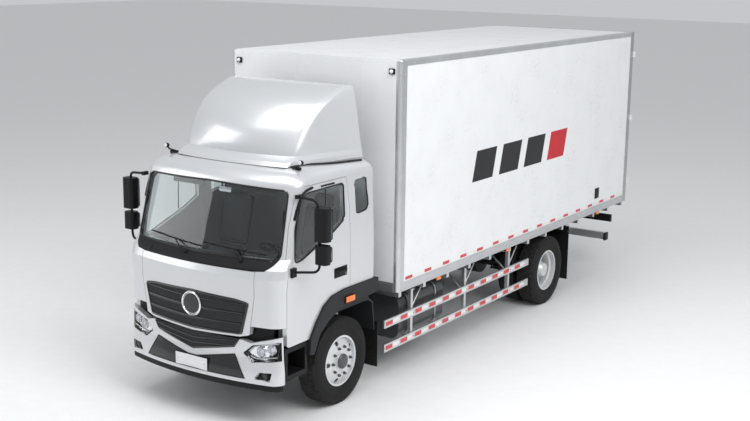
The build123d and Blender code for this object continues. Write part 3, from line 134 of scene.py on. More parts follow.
@dataclass
class Wire:
    """One output of a node; arithmetic on it adds Math nodes."""

    sheet: "Sheet"
    socket: bpy.types.NodeSocket

    def _math(self, operation: str, first: Any, second: Any = 0.0) -> "Wire":
        """Add a Math node.

        Args:
            operation: the node's operation.
            first: a wire or number for the first input.
            second: a wire or number for the second input.

        Returns:
            The node's output.
        """
        return self.sheet.node("ShaderNodeMath", {"operation": operation}, {0: first, 1: second})

    def __add__(self, other: Any) -> "Wire":
        """Sum."""
        return self._math("ADD", self, other)

    __radd__ = __add__

    def __sub__(self, other: Any) -> "Wire":
        """Difference."""
        return self._math("SUBTRACT", self, other)

    def __rsub__(self, other: Any) -> "Wire":
        """Difference, the other way round."""
        return self._math("SUBTRACT", other, self)

    def __mul__(self, other: Any) -> "Wire":
        """Product."""
        return self._math("MULTIPLY", self, other)

    __rmul__ = __mul__

    def sine(self) -> "Wire":
        """Sine of the value."""
        return self._math("SINE", self)

    def root(self) -> "Wire":
        """Square root of the value."""
        return self._math("SQRT", self)

    def size(self) -> "Wire":
        """Absolute value."""
        return self._math("ABSOLUTE", self)

    def span(self, low: float, high: float) -> "Wire":
        """Value carried from low..high to 0..1 and held there."""
        return self.sheet.node("ShaderNodeMapRange", {"clamp": True},
                               {0: self, 1: low, 2: high, 3: 0.0, 4: 1.0})


class Sheet:
    """Node tree of one material, with a Principled shader at its end."""

    def __init__(self, name: str) -> None:
        """Start an empty material of that name."""
        self.material = bpy.data.materials.new(name)
        self.material.use_nodes = True
        self.tree = self.material.node_tree
        self.tree.nodes.clear()
        self.shader = self.tree.nodes.new("ShaderNodeBsdfPrincipled")
        output = self.tree.nodes.new("ShaderNodeOutputMaterial")
        self.tree.links.new(self.shader.outputs[0], output.inputs["Surface"])

    def plug(self, target: bpy.types.NodeSocket, value: Any) -> None:
        """Set or link one input.

        Args:
            target: the input.
            value: a wire to link, or a constant to set.
        """
        if isinstance(value, Wire):
            self.tree.links.new(value.socket, target)
        elif isinstance(value, (tuple, list)) and len(value) == 3 and target.type == "RGBA":
            target.default_value = (*value, 1.0)
        else:
            target.default_value = value

    def node(self, kind: str, settings: dict[str, Any], inputs: dict[Any, Any],
             output: Any = 0) -> Wire:
        """Add one node.

        Args:
            kind: the node's type.
            settings: attributes set before its inputs.
            inputs: values or wires by input name or number.
            output: name or number of the output to return.

        Returns:
            That output.
        """
        made = self.tree.nodes.new(kind)
        for name, value in settings.items():
            setattr(made, name, value)
        for name, value in inputs.items():
            self.plug(made.inputs[name], value)
        return Wire(self, made.outputs[output])

    def place(self, scale: Point = (1, 1, 1), centre: Point = (0, 0, 0)) -> Wire:
        """Object coordinates less a centre, stretched by a scale."""
        raw = self.node("ShaderNodeTexCoord", {}, {}, "Object")
        shift = tuple(-c * s for c, s in zip(centre, scale))
        return self.node("ShaderNodeMapping", {},
                         {"Vector": raw, "Location": shift, "Scale": scale})

    def split(self, vector: Wire) -> tuple[Wire, Wire, Wire]:
        """The three parts of a vector."""
        parts = self.tree.nodes.new("ShaderNodeSeparateXYZ")
        self.tree.links.new(vector.socket, parts.inputs[0])
        return tuple(Wire(self, part) for part in parts.outputs)

    def noise(self, scale: float, detail: float = 3.0, vector: Wire | None = None) -> Wire:
        """Cloudy value between 0 and 1 with that many features a metre."""
        return self.node("ShaderNodeTexNoise", {},
                         {"Vector": vector or self.place(), "Scale": scale, "Detail": detail})

    def blend(self, share: Any, first: Any, second: Any) -> Wire:
        """Colour between two colours, by share."""
        made = self.tree.nodes.new("ShaderNodeMix")
        made.data_type = "RGBA"
        self.plug(made.inputs[0], share)
        self.plug(made.inputs[6], first)
        self.plug(made.inputs[7], second)
        return Wire(self, made.outputs[2])

    def relief(self, height: Wire, depth: float, strength: float = 1.0) -> None:
        """Feed the shader's normal from a height, depth in metres."""
        normal = self.node("ShaderNodeBump", {}, {"Height": height, "Distance": depth,
                                                  "Strength": strength})
        self.plug(self.shader.inputs["Normal"], normal)

    def constants(self, **values: Any) -> None:
        """Set shader inputs; an underscore in a name stands for a blank."""
        for name, value in values.items():
            self.plug(self.shader.inputs[name.replace("_", " ")], value)


# ---- Finishes ------------------------------------------------------------------------------


@dataclass(frozen=True)
class Finish:
    """An everyday finish: colour that varies a little, uneven gloss, fine relief and dust."""

    name: str
    slot: str
    colour: tuple[float, float, float]
    roughness: float = 0.5
    metallic: float = 0.0
    coat: float = 0.0
    texture: Texture = Texture.GRAIN
    scale: float = 900.0
    depth: float = 0.0002
    mottle: float = 0.06
    dust: float = 0.02
    glow: float = 0.0
    lengthways: int = 1
    shine: float = 0.5

    def height(self, sheet: Sheet) -> Wire:
        """Height of the fine relief, 0 to 1."""
        if self.texture is Texture.BRUSHED:
            stretch = [self.scale] * 3
            stretch[self.lengthways] = self.scale / 60.0
            return sheet.noise(1.0, 2.0, sheet.place(stretch))
        if self.texture is Texture.WEAVE:
            x, y, z = sheet.split(sheet.place((self.scale,) * 3))
            return (x.sine() * (y + z).sine()).size() + sheet.noise(300.0) * 0.4
        if self.texture is Texture.MESH:
            x, y, z = sheet.split(sheet.place((self.scale,) * 3))
            return ((x + z).sine() * (x - z).sine()).size()
        if self.texture is Texture.CAST:
            return sheet.noise(self.scale, 6.0) + sheet.noise(self.scale / 12.0, 2.0) * 0.6
        if self.texture is Texture.ORANGE_PEEL:
            return sheet.noise(self.scale, 1.0)
        return sheet.node("ShaderNodeTexVoronoi", {"feature": "F1"},
                          {"Vector": sheet.place(), "Scale": self.scale}, "Distance")

    def build(self) -> bpy.types.Material:
        """Make the material."""
        sheet = Sheet(self.name)
        cloud = sheet.noise(2.3, 5.0)
        speck = sheet.noise(38.0, 4.0)
        dark = tuple(c * (1 - self.mottle * 1.6) for c in self.colour)
        light = tuple(min(1.0, c * (1 + self.mottle)) for c in self.colour)
        base = sheet.blend(cloud.span(0.3, 0.7), dark, light)
        _, _, height = sheet.split(sheet.place())
        low = (1.0 - height.span(0.1, 1.3)) * speck.span(0.35, 0.75) * self.dust
        base = sheet.blend(low, base, (0.32, 0.30, 0.27))
        sheet.constants(Base_Color=base, Metallic=self.metallic, Coat_Weight=self.coat,
                        Coat_Roughness=0.04, Specular_IOR_Level=self.shine)
        gloss = speck * 0.16 + cloud * 0.08 - 0.12
        sheet.constants(Roughness=(gloss + self.roughness + low * 0.5).span(0.0, 1.0))
        if self.glow:
            sheet.constants(Emission_Color=base, Emission_Strength=self.glow)
        sheet.relief(self.height(sheet), self.depth)
        return sheet.material


@dataclass(frozen=True)
class PearlPaint(Finish):
    """Silver-white pearl under clear coat, with fine flake."""

    def build(self) -> bpy.types.Material:
        """Make the material."""
        sheet = Sheet(self.name)
        flake = sheet.node("ShaderNodeTexVoronoi", {"feature": "F1"},
                           {"Vector": sheet.place(), "Scale": 1600.0}, "Distance")
        sparkle = sheet.node("ShaderNodeTexVoronoi", {"feature": "F1"},
                             {"Vector": sheet.place(), "Scale": 1600.0}, "Color")
        value, _, _ = sheet.split(sparkle)
        cloud = sheet.noise(1.7, 3.0)
        dark = tuple(c * 0.93 for c in self.colour)
        base = sheet.blend(value * 0.5 + cloud * 0.3, dark, self.colour)
        _, _, height = sheet.split(sheet.place())
        low = (1.0 - height.span(0.4, 1.2)) * sheet.noise(30.0, 4.0).span(0.4, 0.8) * self.dust
        sheet.constants(Base_Color=sheet.blend(low, base, (0.30, 0.28, 0.26)),
                        Metallic=self.metallic, Coat_Weight=self.coat, Coat_Roughness=0.03,
                        Roughness=value * 0.08 + self.roughness + low * 0.4)
        sheet.relief(flake + sheet.noise(60.0, 1.0) * 3.0, self.depth)
        return sheet.material


@dataclass(frozen=True)
class Perforated:
    """Dark plate with a fine pattern of slanted holes."""

    name: str
    slot: str
    colour: tuple[float, float, float]
    roughness: float
    pitch: float = 120.0

    def build(self) -> bpy.types.Material:
        """Make the material."""
        sheet = Sheet(self.name)
        x, _, z = sheet.split(sheet.place((self.pitch,) * 3))
        cells = ((x + z * 1.7).sine() * (x - z * 1.7).sine()).size()
        hole = cells.span(0.30, 0.55)
        speck = sheet.noise(40.0, 3.0)
        base = sheet.blend(hole, self.colour, (0.006, 0.006, 0.007))
        sheet.constants(Base_Color=base, Roughness=hole * 0.4 + speck * 0.1 + self.roughness,
                        Specular_IOR_Level=0.2)
        sheet.relief(1.0 - hole, 0.0035)
        return sheet.material


@dataclass(frozen=True)
class Glass:
    """Glass with a tint."""

    name: str
    slot: str
    tint: tuple[float, float, float]
    roughness: float = 0.0
    ior: float = 1.45

    def build(self) -> bpy.types.Material:
        """Make the material."""
        sheet = Sheet(self.name)
        smear = sheet.noise(9.0, 5.0).span(0.45, 0.8)
        sheet.constants(Base_Color=self.tint, Transmission_Weight=1.0, IOR=self.ior,
                        Roughness=smear * 0.02 + self.roughness)
        return sheet.material


@dataclass(frozen=True)
class Rubber:
    """Tyre rubber with moulded sidewall rings round an axle."""

    name: str
    slot: str
    axle: float

    def build(self) -> bpy.types.Material:
        """Make the material."""
        sheet = Sheet(self.name)
        _, y, z = sheet.split(sheet.place(centre=(0.0, self.axle, AXLE_HEIGHT)))
        radius = (y * y + z * z).root()
        rings = (radius * 420.0).sine().span(0.2, 0.9)
        band = radius.span(0.330, 0.338) * (1.0 - radius.span(0.462, 0.470))
        rib = (radius.span(0.385, 0.388) * (1.0 - radius.span(0.430, 0.433))) * 0.6
        grain = sheet.noise(420.0, 4.0)
        speck = sheet.noise(24.0, 5.0)
        tread = radius.span(0.492, 0.502)
        base = sheet.blend(speck.span(0.3, 0.75), (0.006, 0.006, 0.006), (0.016, 0.0155, 0.015))
        base = sheet.blend(tread * speck.span(0.35, 0.7) * 0.7, base, (0.040, 0.037, 0.034))
        sheet.constants(Base_Color=base, Roughness=speck * 0.25 + 0.55,
                        Specular_IOR_Level=0.25)
        sheet.relief(rings * band * (1.0 - rib) + rib + grain * 0.35, 0.0022)
        return sheet.material


FINISHES: dict[str, Any] = {
    "paint": PearlPaint("pearl_paint", "cab_paint", (0.66, 0.67, 0.685), 0.27, 0.45, 1.0,
                        depth=0.00003, dust=0.10),
    "white": Finish("white_gel_coat", "box_white", (0.80, 0.81, 0.82), 0.30, 0.0, 0.35,
                    Texture.ORANGE_PEEL, 14.0, 0.0006, 0.02, 0.10),
    "aluminium": Finish("satin_aluminium", "aluminium", (0.66, 0.67, 0.68), 0.34, 0.9, 0.0,
                        Texture.BRUSHED, 700.0, 0.00012, 0.05, 0.04),
    "stainless": Finish("brushed_stainless", "stainless", (0.55, 0.55, 0.56), 0.28, 1.0, 0.0,
                        Texture.BRUSHED, 900.0, 0.00010, 0.05, 0.10, lengthways=2),
    "black": Finish("black_plastic", "black_plastic", (0.007, 0.007, 0.008), 0.46, scale=1300.0,
                    depth=0.00025, shine=0.22),
    "anthracite": Finish("anthracite_plastic", "anthracite", (0.020, 0.021, 0.023), 0.50,
                         scale=1100.0, depth=0.0003, shine=0.25),
    "gloss_black": Finish("gloss_black", "grille_dark", (0.005, 0.005, 0.006), 0.18, 0.0, 0.4,
                          Texture.ORANGE_PEEL, 60.0, 0.0001),
    "mesh": Perforated("grille_mesh", "grille_dark", (0.055, 0.057, 0.060), 0.45),
    "chassis": Finish("chassis_paint", "chassis_black", (0.010, 0.010, 0.011), 0.42, 0.0, 0.15,
                      Texture.ORANGE_PEEL, 160.0, 0.0004, 0.15, 0.10, shine=0.25),
    "cast": Finish("engine_casting", "engine_grey", (0.17, 0.18, 0.19), 0.55, 0.5, 0.0,
                   Texture.CAST, 300.0, 0.0012, 0.15, 0.15),
    "steel": Finish("turned_steel", "bare_steel", (0.42, 0.42, 0.42), 0.32, 1.0, 0.0,
                    Texture.BRUSHED, 900.0, 0.0002, 0.10, 0.30),
    "tank": Finish("tank_paint", "tank_grey", (0.070, 0.073, 0.078), 0.36, 0.35, 0.25,
                   Texture.ORANGE_PEEL, 90.0, 0.0003, 0.08, 0.05),
    "rubber": Finish("black_rubber", "black_rubber", (0.006, 0.006, 0.006), 0.62, scale=500.0,
                     depth=0.0004, dust=0.06, shine=0.2),
    "gasket": Finish("gasket_rubber", "black_rubber", (0.004, 0.004, 0.005), 0.40, scale=700.0,
                     depth=0.0002),
    "floor": Finish("floor_coating", "floor_coating", (0.25, 0.26, 0.27), 0.60,
                    texture=Texture.CAST, scale=420.0, depth=0.0015, dust=0.0),
    "trim": Finish("cab_trim", "cab_trim_dark", (0.070, 0.072, 0.078), 0.62, scale=800.0,
                   depth=0.0004, dust=0.0),
    "silver": Finish("wheel_silver", "rim_silver", (0.70, 0.71, 0.72), 0.40, 0.55, 0.15,
                     Texture.ORANGE_PEEL, 20.0, 0.00003, 0.03, 0.02),
    "chrome": Finish("bright_reflector", "lamp_clear", (0.86, 0.87, 0.88), 0.08, 1.0, 0.0,
                     Texture.ORANGE_PEEL, 90.0, 0.0002, 0.02, 0.0),
    "lamp_white": Finish("lamp_white", "lamp_clear", (0.72, 0.74, 0.78), 0.12, 0.35, glow=0.10,
                         texture=Texture.ORANGE_PEEL, scale=200.0, depth=0.0004, dust=0.0),
    "amber": Finish("amber_lens", "lamp_clear", (0.82, 0.17, 0.012), 0.14, 0.0, 0.8,
                    Texture.WEAVE, 420.0, 0.0006, 0.03, 0.05, glow=0.12),
    "red": Finish("red_lens", "lamp_clear", (0.50, 0.010, 0.012), 0.14, 0.0, 0.8,
                  Texture.WEAVE, 420.0, 0.0006, 0.03, 0.05, glow=0.08),
    "tape_red": Finish("tape_red", "box_white", (0.62, 0.022, 0.030), 0.30, 0.0, 0.4,
                       Texture.MESH, 900.0, 0.0004, 0.04, 0.06),
    "tape_white": Finish("tape_white", "box_white", (0.82, 0.82, 0.80), 0.28, 0.0, 0.4,
                         Texture.MESH, 900.0, 0.0004, 0.04, 0.06),
    "film_black": Finish("film_black", "box_white", (0.010, 0.010, 0.012), 0.55, 0.0, 0.0,
                         Texture.ORANGE_PEEL, 12.0, 0.0001, dust=0.0),
    "film_red": Finish("film_red", "box_white", (0.52, 0.010, 0.020), 0.50, 0.0, 0.0,
                       Texture.ORANGE_PEEL, 12.0, 0.0001, dust=0.0),
    "cloth": Finish("seat_cloth", "seat_fabric", (0.150, 0.155, 0.170), 0.85,
                    texture=Texture.WEAVE, scale=1500.0, depth=0.0006, mottle=0.12, dust=0.0),
    "cloth_dark": Finish("seat_cloth_dark", "seat_fabric", (0.055, 0.057, 0.063), 0.88,
                         texture=Texture.WEAVE, scale=1100.0, depth=0.0006, mottle=0.12, dust=0.0),
    "mirror": Finish("mirror_face", "glass", (0.80, 0.82, 0.84), 0.03, 1.0, 0.0,
                     Texture.ORANGE_PEEL, 3.0, 0.0001, 0.01, 0.0),
    "plate": Finish("blank_plate", "box_white", (0.74, 0.75, 0.76), 0.35, 0.2, 0.3,
                    Texture.ORANGE_PEEL, 120.0, 0.0003, 0.03, 0.08),
    "glass": Glass("cab_glass", "glass", (0.80, 0.84, 0.84)),
    "lens": Glass("lamp_lens", "lamp_clear", (0.97, 0.98, 0.99), 0.0, 1.30),
    "tyre_front": Rubber("tyre_rubber_front", "tyre", FRONT_AXLE),
    "tyre_rear": Rubber("tyre_rubber_rear", "tyre", REAR_AXLE),
}


class PaintShop:
    """Makes each finish once and gives it to pieces and CAD nodes."""

    def __init__(self, nodes: dict[str, bpy.types.Object]) -> None:
        """Keep the CAD nodes by name."""
        self.nodes = nodes
        self.made: dict[str, bpy.types.Material] = {}

    def material(self, finish: str) -> bpy.types.Material:
        """Material of a finish, made on first use."""
        if finish not in self.made:
            self.made[finish] = FINISHES[finish].build()
        return self.made[finish]

    def dress(self, finish: str, *names: str) -> None:
        """Give CAD nodes a finish."""
        for name in names:
            piece = self.nodes[name]
            piece.data.materials.clear()
            piece.data.materials.append(self.material(finish))
            log.info("dressed %s in %s", name, finish)

    def place(self, piece: bpy.types.Object, finish: str, body: str = "chassis",
              angle: float = 32.0) -> bpy.types.Object:
        """Finish a new piece and hang it on its body.

        Args:
            piece: the piece, with its place in its mesh.
            finish: name of its finish.
            body: CAD body that carries it.
            angle: largest angle shaded smooth, in degrees.

        Returns:
            The piece.
        """
        piece.data.materials.clear()
        piece.data.materials.append(self.material(finish))
        only(piece)
        bpy.ops.object.shade_smooth_by_angle(angle=math.radians(angle))
        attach(piece, body)
        log.info("built %s", piece.name)
        return piece


# ---- Modelling by hand ---------------------------------------------------------------------


def only(*pieces: bpy.types.Object) -> None:
    """Select these pieces alone and make the first one active."""
    if bpy.context.object and bpy.context.object.mode != "OBJECT":
        bpy.ops.object.mode_set(mode="OBJECT")
    bpy.ops.object.select_all(action="DESELECT")
    for piece in pieces:
        piece.select_set(True)
    if pieces:
        bpy.context.view_layer.objects.active = pieces[0]


def settled(name: str) -> bpy.types.Object:
    """Name the active piece and put its place into its mesh."""
    piece = bpy.context.object
    bpy.ops.object.transform_apply(location=True, rotation=True, scale=True)
    piece.name = name
    piece.data.name = name
    return piece


def bar(name: str, low: Point, high: Point, edge: float = 0.003,
        segments: int = 2) -> bpy.types.Object:
    """Straight bar with rounded edges.

    Args:
        name: the piece's name.
        low: lowest corner.
        high: highest corner.
        edge: width of the rounding.
        segments: steps in the rounding.

    Returns:
        The piece.
    """
    only()
    middle = (Vector(low) + Vector(high)) / 2
    bpy.ops.mesh.primitive_cube_add(size=1.0, location=middle, scale=Vector(high) - Vector(low))
    piece = settled(name)
    bpy.ops.object.mode_set(mode="EDIT")
    bpy.ops.mesh.select_all(action="SELECT")
    bpy.ops.mesh.bevel(offset=edge, segments=segments, affect="EDGES")
    bpy.ops.object.mode_set(mode="OBJECT")
    return piece


def turned(name: str, rings: Sequence[tuple[float, float]], centre: Point, way: Point,
           sides: int = 32) -> bpy.types.Object:
    """Round part built ring by ring along its axis.

    Args:
        name: the piece's name.
        rings: (radius, distance along the axis) from the first face to the last.
        centre: where distance nought lies.
        way: direction of the axis.
        sides: corners of each ring.

    Returns:
        The piece, closed at both ends.
    """
    only()
    radius, along = rings[0]
    bpy.ops.mesh.primitive_circle_add(vertices=sides, radius=radius, fill_type="NGON",
                                      location=(0, 0, along))
    piece = settled(name)
    bpy.ops.object.mode_set(mode="EDIT")
    bpy.ops.mesh.select_all(action="SELECT")
    for next_radius, next_along in rings[1:]:
        bpy.ops.mesh.extrude_region_move(
            TRANSFORM_OT_translate={"value": (0, 0, next_along - along)})
        share = next_radius / radius
        bpy.ops.transform.resize(value=(share, share, 1.0), center_override=(0, 0, 0))
        radius, along = next_radius, next_along
    bpy.ops.mesh.select_all(action="SELECT")
    bpy.ops.mesh.normals_make_consistent(inside=False)
    bpy.ops.object.mode_set(mode="OBJECT")
    turn = Vector((0, 0, 1)).rotation_difference(Vector(way)).to_matrix().to_4x4()
    piece.data.transform(Matrix.Translation(Vector(centre)) @ turn)
    return piece


def tube(name: str, points: Iterable[Point], radius: float, closed: bool = False,
         smooth: bool = False, steps: int = 2) -> bpy.types.Object:
    """Round rod that follows points.

    Args:
        name: the piece's name.
        points: the path.
        radius: the rod's radius.
        closed: True if the path closes on itself.
        smooth: True to round the path between its points.
        steps: fineness of the round section.

    Returns:
        The piece as a mesh.
    """
    only()
    bpy.ops.curve.primitive_bezier_curve_add()
    piece = bpy.context.object
    path = list(points)
    curve = piece.data
    curve.splines.clear()
    curve.dimensions = "3D"
    line = curve.splines.new("BEZIER")
    line.bezier_points.add(len(path) - 1)
    for knot, point in zip(line.bezier_points, path):
        knot.co = point
        knot.handle_left_type = knot.handle_right_type = "AUTO" if smooth else "VECTOR"
    line.use_cyclic_u = closed
    curve.resolution_u = 8 if smooth else 1
    curve.bevel_depth = radius
    curve.bevel_resolution = steps
    curve.use_fill_caps = True
    bpy.ops.object.convert(target="MESH")
    return settled(name)


def sheet_of(name: str, rows: Sequence[Sequence[Point]], thick: float) -> bpy.types.Object:
    """Thin skin through a grid of points, given a wall inwards.

    Args:
        name: the piece's name.
        rows: rows of points, all as long as each other.
        thick: thickness of the wall.

    Returns:
        The piece.
    """
    only()
    tall, wide = len(rows), len(rows[0])
    bpy.ops.mesh.primitive_grid_add(x_subdivisions=wide - 1, y_subdivisions=tall - 1, size=1.0)
    piece = settled(name)
    flat = [point for row in rows for point in row]
    for vertex, point in zip(piece.data.vertices, flat):
        vertex.co = point
    wall = piece.modifiers.new("wall", "SOLIDIFY")
    wall.thickness = thick
    wall.offset = 0.0
    bpy.ops.object.modifier_apply(modifier="wall")
    bpy.ops.object.mode_set(mode="EDIT")
    bpy.ops.mesh.select_all(action="SELECT")
    bpy.ops.mesh.normals_make_consistent(inside=False)
    bpy.ops.object.mode_set(mode="OBJECT")
    return piece


def copied(piece: bpy.types.Object, name: str, place: Matrix) -> bpy.types.Object:
    """Copy of a piece with its own mesh, moved by a matrix."""
    other = piece.copy()
    other.data = piece.data.copy()
    other.name = other.data.name = name
    bpy.context.scene.collection.objects.link(other)
    other.data.transform(place)
    if place.determinant() < 0:
        other.data.flip_normals()
    return other


def joined(name: str, pieces: Sequence[bpy.types.Object]) -> bpy.types.Object:
    """Several loose meshes made one piece."""
    only(*pieces)
    if len(pieces) > 1:
        bpy.ops.object.join()
    piece = bpy.context.object
    piece.name = piece.data.name = name
    return piece


def repeated(name: str, piece: bpy.types.Object, places: Sequence[Matrix]) -> bpy.types.Object:
    """One piece made of copies of another, which is used up."""
    copies = [copied(piece, name, place) for place in places]
    bpy.data.objects.remove(piece)
    return joined(name, copies)


def tilt(piece: bpy.types.Object, degrees: float, axis: str, centre: Point) -> bpy.types.Object:
    """Turn a piece's mesh about a point."""
    about = Matrix.Translation(Vector(centre))
    piece.data.transform(about @ Matrix.Rotation(math.radians(degrees), 4, axis) @ about.inverted())
    return piece


def steps(first: float, last: float, count: int) -> list[float]:
    """Evenly spaced values from first to last."""
    return [first + (last - first) * i / (count - 1) for i in range(count)]


class Skin:
    """Surface of some CAD nodes, met by straight rays."""

    def __init__(self, shop: PaintShop, *names: str) -> None:
        """Collect the nodes' faces."""
        corners: list[Vector] = []
        faces: list[list[int]] = []
        for name in names:
            mesh = shop.nodes[name].data
            start = len(corners)
            corners += [vertex.co.copy() for vertex in mesh.vertices]
            faces += [[start + i for i in face.vertices] for face in mesh.polygons]
        self.tree = BVHTree.FromPolygons(corners, faces)

    def meet(self, start: Point, way: Point, lift: float = 0.0) -> Vector:
        """Point where a ray meets the surface, lifted back along the ray."""
        aim = Vector(way).normalized()
        hit = self.tree.ray_cast(Vector(start), aim)[0]
        if hit is None:
            near = self.tree.find_nearest(Vector(start) + aim * 1.6)[0]
            log.warning("no surface from %s: nearest point taken", tuple(start))
            hit = Vector(near)
        return hit - aim * lift

    def front(self, x: float, z: float, lift: float = 0.0) -> Vector:
        """Point of the front seen at X and Z."""
        return self.meet((x, -6.0, z), (0, 1, 0), lift)

    def side(self, y: float, z: float, lift: float = 0.0, side: Side = Side.LEFT) -> Vector:
        """Point of a side seen at Y and Z."""
        return self.meet((side.value * 3.0, y, z), (-side.value, 0, 0), lift)


def softened(outline: Sequence[tuple[float, float]], radius: float,
             count: int = 4) -> list[tuple[float, float]]:
    """Closed outline with its corners rounded.

    Args:
        outline: corner points in turn.
        radius: how far from each corner the rounding starts.
        count: points across each corner.

    Returns:
        The rounded outline, with extra points along its long edges.
    """
    result: list[tuple[float, float]] = []
    total = len(outline)
    for i, corner in enumerate(outline):
        here = Vector(corner)
        before = Vector(outline[i - 1]) - here
        after = Vector(outline[(i + 1) % total]) - here
        start = here + before.normalized() * min(radius, before.length * 0.45)
        end = here + after.normalized() * min(radius, after.length * 0.45)
        for k in range(count + 1):
            t = k / count
            point = start * (1 - t) ** 2 + here * 2 * t * (1 - t) + end * t * t
            result.append((point.x, point.y))
        far = here + after - after.normalized() * min(radius, after.length * 0.45)
        pieces = max(1, int((far - end).length / 0.08))
        result += [tuple(end.lerp(far, k / pieces)) for k in range(1, pieces)]
    return result


# ---- Cab -----------------------------------------------------------------------------------


